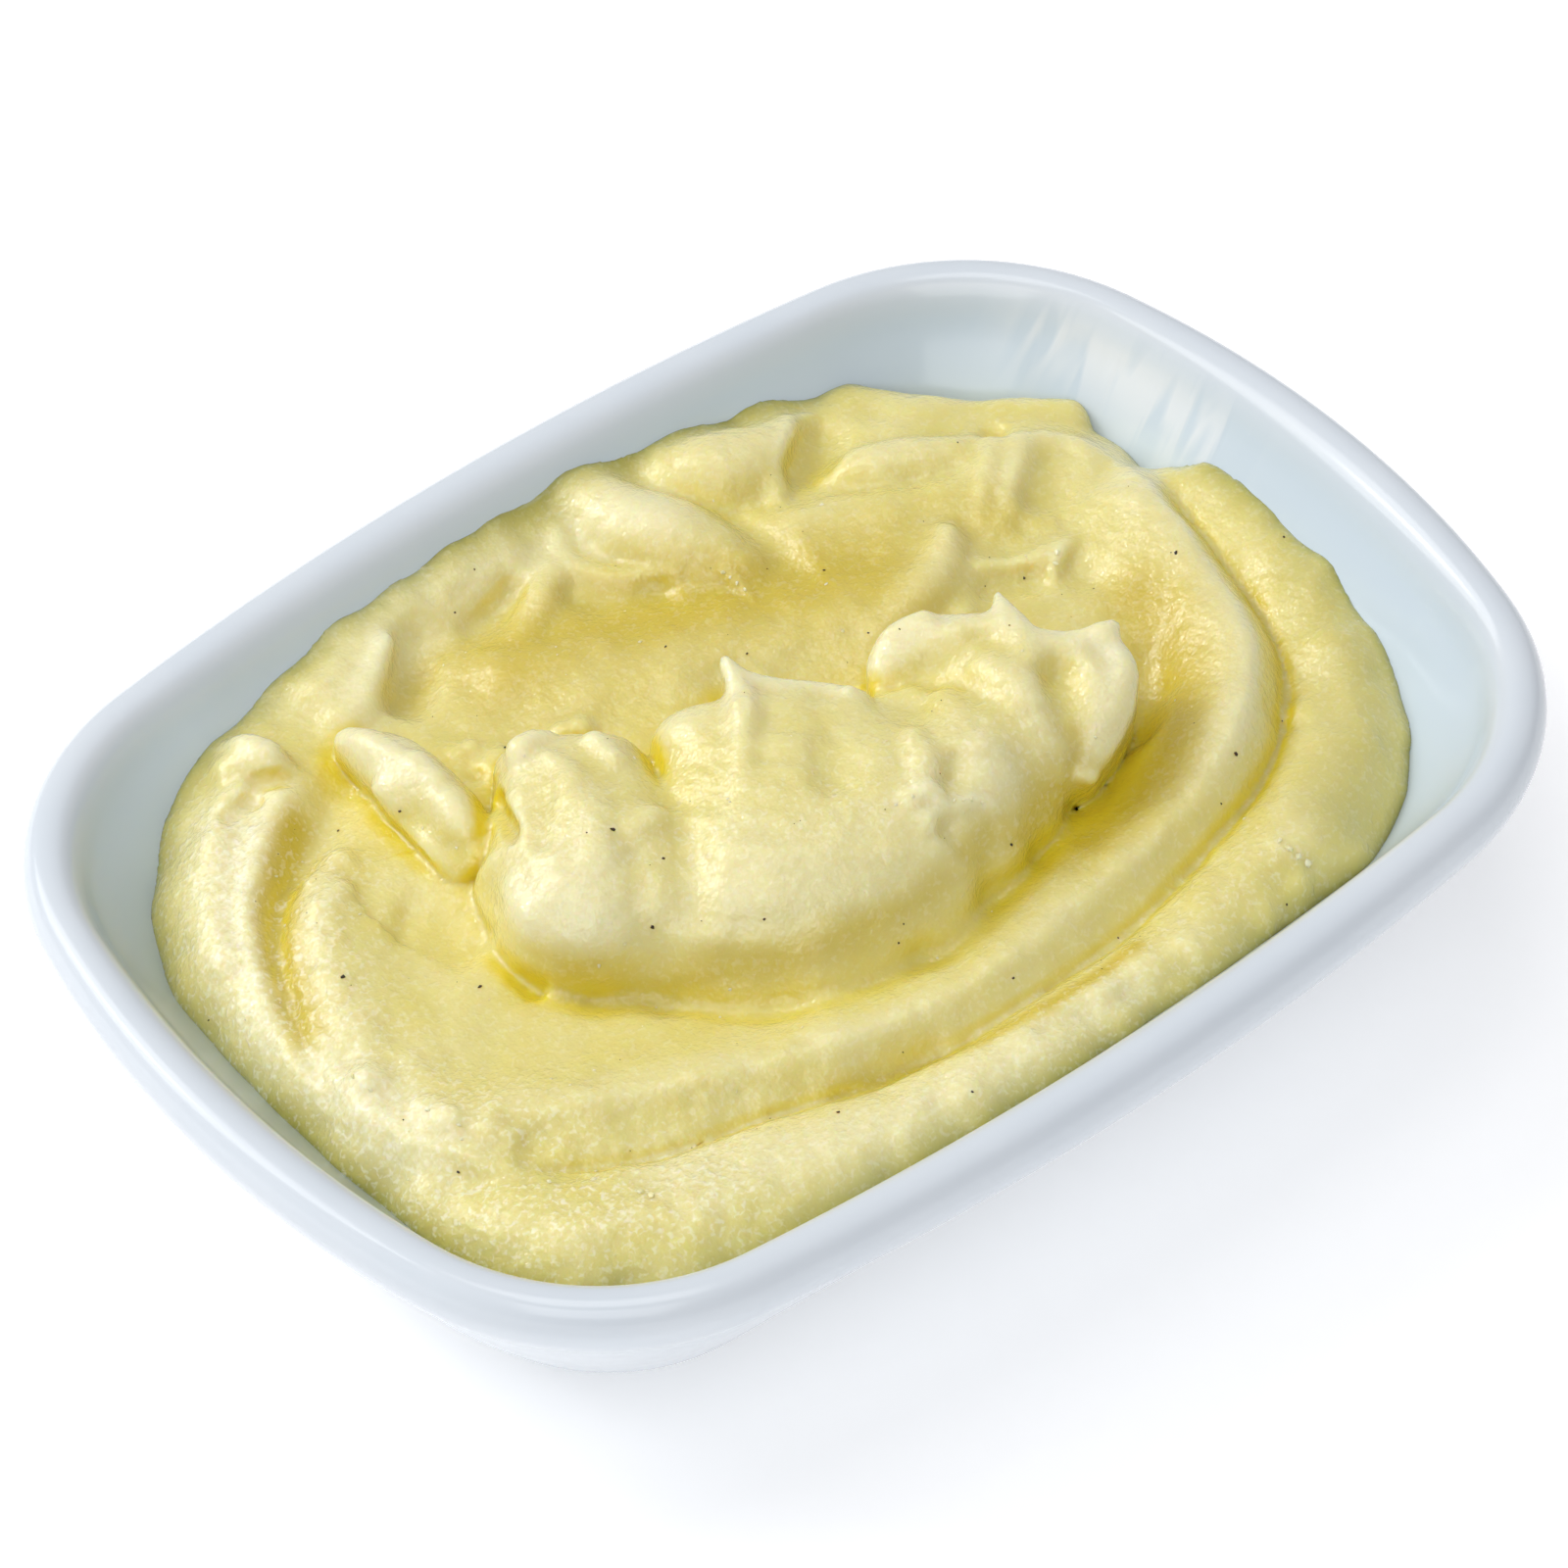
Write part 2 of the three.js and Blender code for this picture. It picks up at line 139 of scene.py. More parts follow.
def curve_through(pts, sub):
    """Centripetal-like smooth curve through points, for the dish's section."""
    p = np.asarray(pts, float)
    out = []
    for i in range(len(p) - 1):
        a = p[max(i - 1, 0)]; b = p[i]; c = p[i + 1]; d = p[min(i + 2, len(p) - 1)]
        lab, lbc, lcd = (max(np.linalg.norm(q - w), 1e-6) ** 0.5 for q, w in ((a, b), (b, c), (c, d)))
        m1 = (c - b) + lbc * ((b - a) / lab - (c - a) / (lab + lbc)) if i else (c - b)
        m2 = (c - b) + lbc * ((d - c) / lcd - (d - b) / (lbc + lcd)) if i < len(p) - 2 else (c - b)
        for s in range(sub):
            t = s / sub
            out.append((2 * t**3 - 3 * t**2 + 1) * b + (t**3 - 2 * t**2 + t) * m1 + (-2 * t**3 + 3 * t**2) * c + (t**3 - t**2) * m2)
    out.append(p[-1])
    return np.array(out)


def make_dish():
    sec = [(31, 1.5), (28.6, 1.5), (27.7, 1.1), (27.3, 0.3), (26.8, 0), (25.0, 0), (24.2, 0.25), (23.1, 1.0), (21.6, 2.1), (20.0, 3.4), (18.2, 5.9)]
    sec += [(0.73 * (36 - z) - 3.72, z) for z in (10, 15, 20, 24.5, 27)]
    sec += [(1.55, 28.6), (0.7, 30.0), (0.2, 31.5), (0, 33.0), (0.35, 34.4), (1.35, 35.6), (2.9, 36), (4.4, 35.7), (5.65, 34.9), (6.6, 33.7), (7.4, 32.3), (8.2, 30.9)]
    sec += [(4.6 + 0.7 * (36 - z), z) for z in (28, 24, 20, 15, 11.5)]
    sec += [(24.6, 7.4), (27.2, 5.3), (31.0, 4.3)]
    sec = curve_through(sec, 4)
    sec[:, 0] = np.maximum(sec[:, 0], 0)
    sec[:, 1] = np.clip(sec[:, 1], 0, 36)
    n = 288
    th = even_directions(n)
    m = len(sec)
    r = outline(th[None, :], sec[:, :1])
    v = np.stack([r * np.cos(th), r * np.sin(th), np.repeat(sec[:, 1:], n, 1)], -1).reshape(-1, 3)
    i, k = np.meshgrid(np.arange(n), np.arange(m - 1))
    a, b = k * n + i, k * n + (i + 1) % n
    quads = np.stack([a, b, b + n, a + n], -1).reshape(-1, 4)
    # underside and floor close with shrinking rings, so that the shading stays even
    extra, f = [v], [quads]
    base = len(v)
    for ring0, z0, flip in ((0, 1.5, True), ((m - 1) * n, 4.3, False)):
        prev = np.arange(n) + ring0
        pr = np.hypot(v[prev, 0], v[prev, 1])
        for s in (0.7, 0.4, 0.12):
            ring = np.stack([pr * s * np.cos(th), pr * s * np.sin(th), np.full(n, z0)], -1)
            extra.append(ring)
            cur = np.arange(n) + base
            q = np.stack([prev, np.roll(prev, -1), np.roll(cur, -1), cur], -1)
            f.append(q[:, ::-1] if flip else q)
            prev = cur
            base += n
        extra.append([[0, 0, z0]])
        t = np.stack([prev, np.roll(prev, -1), np.full(n, base)], -1)
        f.append(t[:, ::-1] if flip else t)
        base += 1
    allv = np.concatenate(extra)
    o = new_object("dish_porcelain", allv, f)
    crest = int(sec[:, 1].argmax())
    inner = np.zeros(len(allv))
    rows = np.clip((sec[:, 0] - 5.0) / 2.6, 0, 1) * (np.arange(m) > crest)
    inner[:m * n] = np.repeat(rows, n)
    inner[m * n + 3 * n + 1:] = 1
    # the far corner of the inner wall, where the glaze ripples and a painted reflection lightens the colour
    c = np.stack([at(u_, v_, z_) for u_, v_, z_ in ((1075, 338, 33), (1120, 362, 31.5), (1165, 395, 31), (1215, 440, 31))])
    near = np.min([np.linalg.norm(allv - (c[i] + (c[i + 1] - c[i]) * t), axis=1) for i in range(3) for t in (0, 0.25, 0.5, 0.75, 1.0)], axis=0)
    ripple_and_painted_sheen = np.exp(-((near / 5.5) ** 2)) * inner
    # painted shade: the inner wall is darkened towards the left end
    painted_wall_shade = inner * np.clip((-allv[:, 0] - 45) / 20, 0, 1)
    for name, val in (("inside", inner), ("ripple_and_painted_sheen", ripple_and_painted_sheen), ("painted_wall_shade", painted_wall_shade)):
        o.data.attributes.new(name, "FLOAT", "POINT").data.foreach_set("value", val.astype(np.float32))
    return o


# ------------------------------------------------------------------ mash form
STEP = 0.515
GX = np.arange(-75.0, 76.0, STEP, dtype=np.float32)
GY = np.arange(-55.0, 57.0, STEP, dtype=np.float32)
GZ = np.arange(16.0, 43.5, STEP, dtype=np.float32)
PX, PY = np.meshgrid(GX, GY, indexing="ij")
LAT = rng.random((48, 48, 48)).astype(np.float32)


def noise3(p, size):
    """Smooth value noise, -1 to 1, with features about `size` mm across."""
    q = np.asarray(p, np.float32) / size + 100.37
    i = np.floor(q).astype(int)
    f = q - i
    f = f * f * f * (f * (f * 6 - 15) + 10)
    out = 0
    for c in range(8):
        o = np.array([c & 1, c >> 1 & 1, c >> 2 & 1])
        w = np.prod(np.where(o, f, 1 - f), -1)
        j = (i + o) % 48
        out = out + w * LAT[j[..., 0], j[..., 1], j[..., 2]]
    return out * 2 - 1


def along(pts, X=PX, Y=PY):
    """Distance to a line, place along it from 0 to 1 and side, on the plan grid."""
    best = np.full(X.shape, 1e9, np.float32)
    place, side = np.zeros_like(best), np.zeros_like(best)
    seg = np.hypot(*(np.diff(pts[:, :2], axis=0).T))
    run = np.concatenate([[0], np.cumsum(seg)]) / seg.sum()
    for i in range(len(pts) - 1):
        ax, ay = pts[i, :2]; bx, by = pts[i + 1, :2]
        dx, dy = bx - ax, by - ay
        f = np.clip(((X - ax) * dx + (Y - ay) * dy) / (dx * dx + dy * dy), 0, 1)
        ex, ey = X - ax - f * dx, Y - ay - f * dy
        d = np.hypot(ex, ey)
        m = d < best
        best = np.where(m, d, best)
        place = np.where(m, run[i] + f * (run[i + 1] - run[i]), place)
        side = np.where(m, np.sign(dx * ey - dy * ex), side)
    return best, place, side


def smooth_line(pts, sub=4):
    return curve_through(pts, sub) if len(pts) > 2 else np.asarray(pts, float)


def stroke(H, h, w, z, uv, wide=None, fade=0.06):
    """Adds a spoon's ridge (h > 0) or furrow (h < 0) of half-width w along photo points.

    wide = (u, v, w2) gives the side that photo point lies on a half-width of its own.
    """
    pts = smooth_line([at(u, v, z)[:2] for u, v in uv])
    d, s, side = along(pts)
    ww = w
    if wide:
        q = at(wide[0], wide[1], z)
        _, _, sg = along(pts, np.array([[q[0]]]), np.array([[q[1]]]))
        ww = np.where(side == sg[0, 0], wide[2], w)
    ends = 1
    if fade:
        ends = np.clip(s / fade, 0, 1) * np.clip((1 - s) / fade, 0, 1)
        ends = ends * ends * (3 - 2 * ends)
    return H + h * np.exp(-((d / ww) ** 2)) * (0.2 + 0.8 * ends)


def ground():
    X, Y = PX, PY
    H = 27.3 + 0.04 * Y
    # outer turn of the swirl, round the near side and the right end
    H = stroke(H, 1.5, 5.0, 28.5, [(230, 1080), (330, 1190), (450, 1240), (570, 1245), (700, 1222), (830, 1175), (960, 1118), (1080, 1052), (1200, 968), (1300, 872), (1360, 780), (1380, 700), (1360, 620), (1310, 555), (1245, 500)], fade=0.04)
    # second turn, between the two furrows, climbing to the right
    H = stroke(H, 1.9, 2.6, 30, [(430, 1135), (520, 1120), (620, 1105), (720, 1080), (820, 1055), (920, 1020), (1010, 972), (1090, 912), (1165, 850), (1230, 785), (1268, 715), (1270, 650), (1240, 590), (1192, 525), (1140, 462)], wide=(760, 1000, 5.5), fade=0.1)
    H = stroke(H, 2.2, 3.3, 31, [(1210, 800), (1258, 730), (1272, 660), (1240, 590), (1190, 522), (1140, 462), (1090, 438)], wide=(1100, 640, 9.0), fade=0.2)
    # furrow between them
    H = stroke(H, -1.1, 2.6, 26.5, [(505, 1185), (560, 1188), (620, 1180), (690, 1163), (760, 1135), (830, 1112), (880, 1098), (930, 1075), (985, 1050), (1050, 1010), (1110, 968), (1160, 930), (1210, 880), (1250, 835), (1280, 800), (1303, 750), (1312, 700), (1300, 645), (1272, 600), (1235, 555), (1200, 510), (1178, 478)], fade=0.06)
    H = stroke(H, -0.9, 1.0, 26.5, [(505, 1185), (560, 1188), (620, 1180), (690, 1163), (760, 1135), (830, 1112), (880, 1098), (930, 1075), (985, 1050), (1050, 1010), (1110, 968), (1160, 930), (1210, 880), (1250, 835), (1280, 800), (1303, 750), (1312, 700), (1300, 645), (1272, 600), (1235, 555), (1200, 510), (1178, 478)], fade=0.06)
    H = stroke(H, -1.4, 1.3, 25.5, [(865, 1098), (900, 1082), (940, 1065), (975, 1050)], fade=0.25)
    # furrow at the dollop's foot
    H = stroke(H, -1.7, 2.8, 26.5, [(560, 1025), (600, 1020), (650, 1020), (700, 1018), (760, 1022), (805, 1018), (850, 1002), (890, 984), (940, 968), (985, 935), (1020, 900), (1045, 870), (1065, 830), (1090, 805), (1125, 775), (1150, 740), (1170, 690), (1165, 640)], fade=0.05)
    H = stroke(H, -1.7, 2.4, 25, [(528, 980), (542, 1004), (562, 1022)], fade=0.1)
    # left end: two bands along the wall, the broad valley and the terrace with its crisp edge
    H = stroke(H, 1.8, 3.2, 27.5, [(262, 800), (228, 840), (212, 900), (210, 950), (228, 1010), (262, 1075), (310, 1135), (380, 1195)], fade=0.06)
    H = stroke(H, 1.9, 2.6, 28, [(300, 800), (275, 860), (258, 920), (260, 975), (280, 1035), (318, 1095), (365, 1150)], fade=0.08)
    H = stroke(H, -0.6, 1.4, 27.5, [(234, 900), (236, 950), (250, 1000), (275, 1055), (306, 1105), (345, 1150), (385, 1178)], fade=0.15)
    H = stroke(H, -2.0, 3.0, 26, [(372, 790), (335, 840), (305, 890), (284, 935), (284, 985), (300, 1035), (326, 1085), (352, 1120)], fade=0.1)
    H = stroke(H, 2.2, 1.4, 28.5, [(375, 880), (335, 892), (308, 915), (300, 950), (308, 1004), (326, 1052), (346, 1094), (376, 1132), (430, 1158), (490, 1175), (560, 1180)], wide=(420, 1040, 9.0), fade=0.12)
    H = stroke(H, -0.5, 2.0, 28, [(395, 1030), (404, 1080), (412, 1120), (440, 1150)], fade=0.2)
    H = stroke(H, -1.2, 4.0, 28.5, [(390, 935), (450, 945), (500, 965)], fade=0.2)
    # the outer turn drops away beside the inner one at the right
    H = stroke(H, -1.3, 4.5, 27, [(1225, 520), (1280, 570), (1330, 640), (1350, 720), (1340, 790)], fade=0.25)
    # far side
    H = stroke(H, 1.9, 6.0, 30, [(500, 730), (600, 695), (700, 665), (800, 640), (900, 610), (1000, 560)], fade=0.2)
    H = stroke(H, 2.1, 3.3, 31, [(770, 545), (800, 530), (860, 513), (930, 504), (985, 484), (1035, 450), (1085, 440), (1135, 462)], wide=(900, 640, 9.0), fade=0.12)
    H = stroke(H, 2.0, 4.5, 31, [(300, 715), (350, 670), (410, 610), (470, 575), (530, 540)], fade=0.1)
    H = stroke(H, -1.2, 3.0, 29, [(405, 735), (418, 700), (425, 660), (470, 645), (510, 625), (535, 590)], fade=0.15)
    H = stroke(H, 1.0, 4.0, 30.5, [(470, 690), (560, 660), (640, 640)], fade=0.2)
    return H


def wall_level(theta):
    """Height at which the mash meets the wall, read off the photo; the near side is hidden."""
    deg = np.degrees(np.arctan2(np.sin(theta), np.cos(theta)))
    d = np.array([-180, -172, -150, -120, -90, -60, -42, -36, -31, -26, -21, -15, -8, 0, 5, 9, 12, 15, 19, 24, 29, 33, 38, 42, 46, 52, 60, 67, 72, 78, 84, 93, 105, 119, 125, 132, 137, 141, 146, 151, 157, 166, 173, 180.0])
    z = np.array([21.6, 21.6, 22.5, 23.5, 24.0, 23.2, 20.8, 20.6, 21.2, 22.0, 23.4, 25.4, 27.2, 27.3, 27.7, 27.4, 25.4, 23.5, 23.5, 24.4, 23.5, 23.3, 24.7, 26.3, 27.6, 29.4, 31.0, 30.8, 31.5, 33.3, 32.6, 32.2, 32.2, 31.0, 29.9, 28.6, 26.4, 24.8, 23.3, 22.2, 21.6, 21.4, 21.6, 21.6])
    uneven = 0.35 * np.sin(7 * theta + 0.6) * np.sin(23 * theta) + 0.2 * np.sin(41 * theta + 1.1)
    return np.interp(deg, d, z) + uneven


def smin(a, b, k):
    h = np.maximum(k - np.abs(a - b), 0) / k
    return np.minimum(a, b) - h * h * k * 0.25


class Heap:
    """The mash as a distance field: the spoon-drawn ground with lobes and peaks merged on."""

    def __init__(self):
        theta = np.arctan2(PY, PX)
        r = np.hypot(PX, PY)
        zw = wall_level(theta)
        edge = outline(theta, inner_inset(zw))
        d = edge - r
        H = ground()
        p2 = np.stack([PX, PY, np.zeros_like(PX)], -1)
        H = H + 0.35 * noise3(p2, 11.0) + 0.22 * noise3(p2 + 31, 5.0)
        roll = 1 - np.exp(-np.maximum(d, 0) / 3.6)
        H = zw + (H - zw) * roll
        H = np.where(d < 0, zw + d * 1.2, H)
        self.H = H
        gx, gy = np.gradient(H, STEP)
        slope = np.sqrt(1 + np.minimum(gx**2 + gy**2, 6))
        self.f = ((GZ[None, None] - H[..., None]) / slope[..., None]).astype(np.float32)

    def _window(self, lo, hi):
        s = []
        for g, a, b in zip((GX, GY, GZ), lo, hi):
            s.append(slice(max(int(np.searchsorted(g, a)), 0), min(int(np.searchsorted(g, b)), len(g))))
        return tuple(s)

    def _merge(self, p, k, cut=False, sub=3):
        """Merges (or cuts) a smooth tapering run of spheres; p holds x, y, z, radius in mm."""
        if len(p) > 2:
            p = curve_through(p, sub)
            p[:, 3] = np.maximum(p[:, 3], 0.2)
        pad = p[:, 3].max() + k + 1.0
        w = self._window(p[:, :3].min(0) - pad, p[:, :3].max(0) + pad)
        X, Y, Z = GX[w[0]][:, None, None], GY[w[1]][None, :, None], GZ[w[2]][None, None, :]
        best = None
        for a, b in zip(p[:-1], p[1:]) if len(p) > 1 else ((p[0], p[0] + 1e-4),):
            e = (b - a)[:3]
            f = np.clip(((X - a[0]) * e[0] + (Y - a[1]) * e[1] + (Z - a[2]) * e[2]) / (e @ e + 1e-12), 0, 1)
            dx, dy, dz = X - a[0] - f * e[0], Y - a[1] - f * e[1], Z - a[2] - f * e[2]
            d = np.sqrt(dx * dx + dy * dy + dz * dz) - (a[3] + f * (b[3] - a[3]))
            best = d if best is None else np.minimum(best, d)
        if cut:
            self.f[w] = -smin(-self.f[w], best, k)
        else:
            self.f[w] = smin(self.f[w], best, k)

    def chain(self, pts, k=2.0, cut=False, sub=3):
        """A run of spheres at photo u, v, height z, with radius r."""
        self._merge(np.array([[*at(u, v, z), r] for u, v, z, r in pts]), k, cut, sub)

    def seen(self, u, v):
        """Point of the surface seen at (u, v), and the outward normal there."""
        z = np.linspace(42.5, 17, 128)
        p = np.array([at(u, v, q) for q in z])
        f = self.sample(p)
        i = int(np.argmax(f < 0))
        i = max(i, 1)
        t = f[i - 1] / (f[i - 1] - f[i] + 1e-9)
        hit = p[i - 1] + t * (p[i] - p[i - 1])
        o = np.eye(3) * 1.2
        n = self.sample(hit + o) - self.sample(hit - o)
        return hit, n / (np.linalg.norm(n) + 1e-9)

    def ridge(self, pts, k=1.2):
        """A low ridge laid on the surface: photo u, v, height above it h, radius r."""
        out = []
        for u, v, h, r in pts:
            p, n = self.seen(u, v)
            out.append([*(p - n * (r - h)), r])
        for run in self._runs(pts, out):
            self._merge(run, k)

    def groove(self, pts, k=1.2):
        """A furrow pressed into the surface: photo u, v, depth h, radius r."""
        out = []
        for u, v, h, r in pts:
            p, n = self.seen(u, v)
            out.append([*(p + n * (r - h)), r])
        for run in self._runs(pts, out):
            self._merge(run, k, cut=True)

    def _runs(self, pts, out):
        """Parts a line where it leaps from a crest to what lies far behind it."""
        runs = [[out[0]]]
        for a, b, o0, o1 in zip(pts, pts[1:], out, out[1:]):
            seen = math.hypot(b[0] - a[0], b[1] - a[1]) / 9.28
            if np.linalg.norm(np.subtract(o1[:3], o0[:3])) > 2.2 * seen + 1.5:
                runs.append([])
            runs[-1].append(o1)
        return [np.array(r) for r in runs]

    def settle(self):
        """Fills what hangs over at the back, in a steep slope away from the viewer's side."""
        away = -np.array(BACK[:2], float)
        ax, ay = 0.466 * away / np.linalg.norm(away)
        for k in range(len(GZ) - 2, -1, -1):
            a = self.f[:, :, k + 1]
            b = a + ax * (np.roll(a, 1, 0) - a)
            self.f[:, :, k] = np.minimum(self.f[:, :, k], b + ay * (np.roll(b, 1, 1) - b))

    def sample(self, p):
        q = (p - np.array([GX[0], GY[0], GZ[0]])) / STEP
        n = np.array(self.f.shape)
        q = np.clip(q, 0, n - 1.001)
        i = q.astype(int)
        f = q - i
        out = 0
        for c in range(8):
            o = np.array([c & 1, c >> 1 & 1, c >> 2 & 1])
            w = np.prod(np.where(o, f, 1 - f), -1)
            j = i + o
            out = out + w * self.f[j[:, 0], j[:, 1], j[:, 2]]
        return out

    def skin(self):
        """Surface of the field: one vertex a cell, one quad a crossed edge (surface nets)."""
        f = self.f
        nx, ny, nz = f.shape
        inside = f < 0
        cells, pos, quads = [], [], []
        cid = lambda i, j, k: (i * (ny - 1) + j) * (nz - 1) + k
        for ax in range(3):
            lo = [slice(None)] * 3; hi = [slice(None)] * 3
            lo[ax] = slice(0, -1); hi[ax] = slice(1, None)
            a, b = inside[tuple(lo)], inside[tuple(hi)]
            i, j, k = np.nonzero(a != b)
            fa, fb = f[tuple(lo)][i, j, k], f[tuple(hi)][i, j, k]
            t = fa / (fa - fb)
            p = np.stack([GX[i], GY[j], GZ[k]], -1).astype(np.float64)
            p[:, ax] += t * STEP
            o1, o2 = (ax + 1) % 3, (ax + 2) % 3
            idx = np.stack([i, j, k], -1)
            n = np.array([nx, ny, nz])
            ok = np.ones(len(i), bool)
            four = []
            for d1, d2 in ((-1, -1), (0, -1), (0, 0), (-1, 0)):
                c = idx.copy()
                c[:, o1] += d1; c[:, o2] += d2
                ok &= (c >= 0).all(1) & (c < n - 1).all(1)
                four.append(c)
            ids = np.stack([cid(c[:, 0], c[:, 1], c[:, 2]) for c in four], -1)[ok]
            for m in range(4):
                cells.append(ids[:, m]); pos.append(p[ok])
            flip = ~a[i, j, k][ok]
            quads.append(np.where(flip[:, None], ids[:, ::-1], ids))
        cells, pos, quads = np.concatenate(cells), np.concatenate(pos), np.concatenate(quads)
        uniq, inv = np.unique(cells, return_inverse=True)
        cnt = np.bincount(inv)
        v = np.stack([np.bincount(inv, pos[:, a]) / cnt for a in range(3)], -1)
        return v, np.searchsorted(uniq, quads)


def build_heap():
    h = Heap()
    # ---- far lobes, lying low behind the plateau
    h.chain([(602, 518, 28.4, 4.4), (645, 548, 27.8, 5.8), (700, 568, 27.2, 5.8), (748, 588, 26.6, 4.4)], k=2.0)
    h.chain([(690, 500, 26.8, 5.2), (735, 492, 27.2, 6.0), (768, 482, 27.4, 5.2), (804, 448, 28.4, 3.0)], k=1.6)
    h.chain([(846, 498, 27.0, 2.8), (890, 488, 27.4, 3.8), (940, 480, 27.4, 3.8), (990, 470, 27.4, 3.0)], k=1.4)
    h.chain([(870, 418, 25.6, 2.4), (940, 432, 25.4, 2.8), (1000, 430, 25.2, 2.2), (1090, 428, 25.0, 2.4)], k=2.0)
    # ---- dollop: ribs laid side by side, foot in front, crest behind
    h.chain([(556, 800, 32.0, 5.6), (572, 868, 31.0, 7.6), (588, 935, 29.5, 8.2)], k=2.4)
    h.chain([(612, 806, 32.0, 6.2), (628, 870, 31.0, 7.2), (622, 938, 29.0, 7.2), (640, 972, 26.4, 5.2)], k=2.4)
    h.chain([(540, 905, 29.5, 4.8), (566, 952, 28.2, 5.2), (594, 972, 26.4, 4.8)], k=2.4)
    h.chain([(716, 772, 33.2, 5.6), (722, 820, 31.5, 5.6)], k=1.0)
    h.chain([(700, 850, 31.0, 5.0), (700, 930, 29.5, 6.4), (700, 976, 26.2, 5.0)], k=2.8)
    h.chain([(664, 868, 33.2, 3.3), (672, 925, 31.2, 4.4)], k=2.0)
    h.ridge([(650, 846, 0.7, 1.8), (667, 838, 1.2, 2.0), (688, 862, 0.7, 1.8)], k=1.4)
    h.chain([(762, 728, 37.0, 2.2), (764, 765, 35.6, 3.9), (760, 845, 33.0, 5.8), (758, 925, 30.0, 7.0), (760, 978, 26.0, 5.6)], k=4.2)
    h.chain([(812, 725, 36.8, 2.2), (814, 765, 35.2, 4.2), (818, 850, 32.5, 6.4), (822, 922, 29.6, 7.2), (825, 976, 26.0, 5.6)], k=4.2)
    h.chain([(868, 732, 36.4, 2.0), (869, 775, 34.6, 4.4), (876, 850, 32.0, 6.6), (884, 912, 29.2, 6.8), (882, 952, 26.2, 5.6)], k=4.2)
    h.chain([(918, 742, 36.0, 1.9), (926, 790, 33.8, 4.8), (938, 850, 31.5, 6.6), (944, 898, 28.6, 5.8), (942, 926, 26.2, 5.4)], k=4.2)
    h.chain([(965, 722, 36.6, 2.4), (980, 760, 34.6, 4.8), (992, 805, 32.3, 6.4), (1002, 850, 29.0, 5.4), (998, 872, 26.6, 5.0)], k=3.0)
    h.chain([(1008, 688, 37.6, 2.6), (1040, 720, 35.8, 4.6), (1050, 765, 32.5, 5.8), (1040, 815, 29.0, 5.0)], k=3.0)
    h.chain([(1066, 668, 37.6, 2.2), (1095, 680, 36.8, 2.8), (1110, 705, 35.2, 3.8), (1104, 742, 33.0, 4.2), (1092, 775, 30.5, 3.6)], k=2.6)
    h.chain([(766, 738, 36.4, 2.4), (815, 734, 36.3, 2.4), (872, 740, 36.0, 2.3)], k=2.2)
    h.chain([(768, 792, 34.4, 4.4), (820, 795, 34.0, 4.8), (880, 800, 33.6, 4.8), (935, 800, 33.4, 4.6), (990, 775, 34.0, 4.6)], k=2.4)
    # the spiral's far wall, curling behind the crest
    h.chain([(914, 706, 34.4, 2.5), (917, 682, 35.6, 3.0), (938, 664, 36.2, 3.5), (980, 658, 36.8, 3.5), (1012, 654, 37.4, 2.8)], k=2.0)
    h.chain([(930, 704, 34.6, 2.8), (960, 692, 35.4, 3.2), (1000, 676, 36.4, 3.0)], k=2.4)
    h.ridge([(895, 705, 0.5, 1.2), (897, 670, 0.7, 1.3), (912, 645, 0.8, 1.3), (940, 631, 0.7, 1.3), (985, 626, 0.5, 1.2)], k=1.4)
    h.groove([(918, 704, 0.7, 1.7), (944, 688, 0.8, 2.0), (975, 668, 0.5, 2.2), (1000, 650, 0.3, 1.6)], k=1.8)
    h.chain([(902, 728, 35.4, 1.7), (930, 720, 35.8, 1.9)], k=1.8)
    # crest with its pulled peaks
    h.chain([(757, 745, 38.0, 2.0), (756, 715, 39.0, 1.5), (748, 692, 39.8, 0.9), (739, 673, 40.1, 0.45)], k=1.6)
    h.chain([(744, 680, 39.7, 0.5), (762, 694, 39.0, 1.0), (795, 702, 38.2, 1.1), (835, 706, 37.8, 1.2), (874, 714, 37.6, 1.1)], k=1.4)
    h.ridge([(774, 688, 0.4, 0.6), (786, 690, 0.3, 0.6)], k=0.6)
    h.ridge([(866, 704, 0.5, 0.7), (878, 703, 0.7, 0.6)], k=0.6)
    h.chain([(1018, 608, 39.9, 0.45), (1025, 622, 39.7, 1.0), (1036, 642, 39.0, 1.7), (1050, 675, 37.8, 2.6)], k=2.2)
    h.chain([(1070, 658, 38.5, 1.2), (1098, 655, 38.7, 1.3), (1124, 648, 38.9, 1.1), (1137, 638, 39.2, 0.6)], k=1.6)
    h.chain([(1128, 652, 38.6, 1.1), (1146, 680, 37.5, 1.4), (1142, 715, 36.0, 1.8), (1122, 750, 34.0, 2.0), (1108, 788, 31.5, 1.3)], k=2.2)
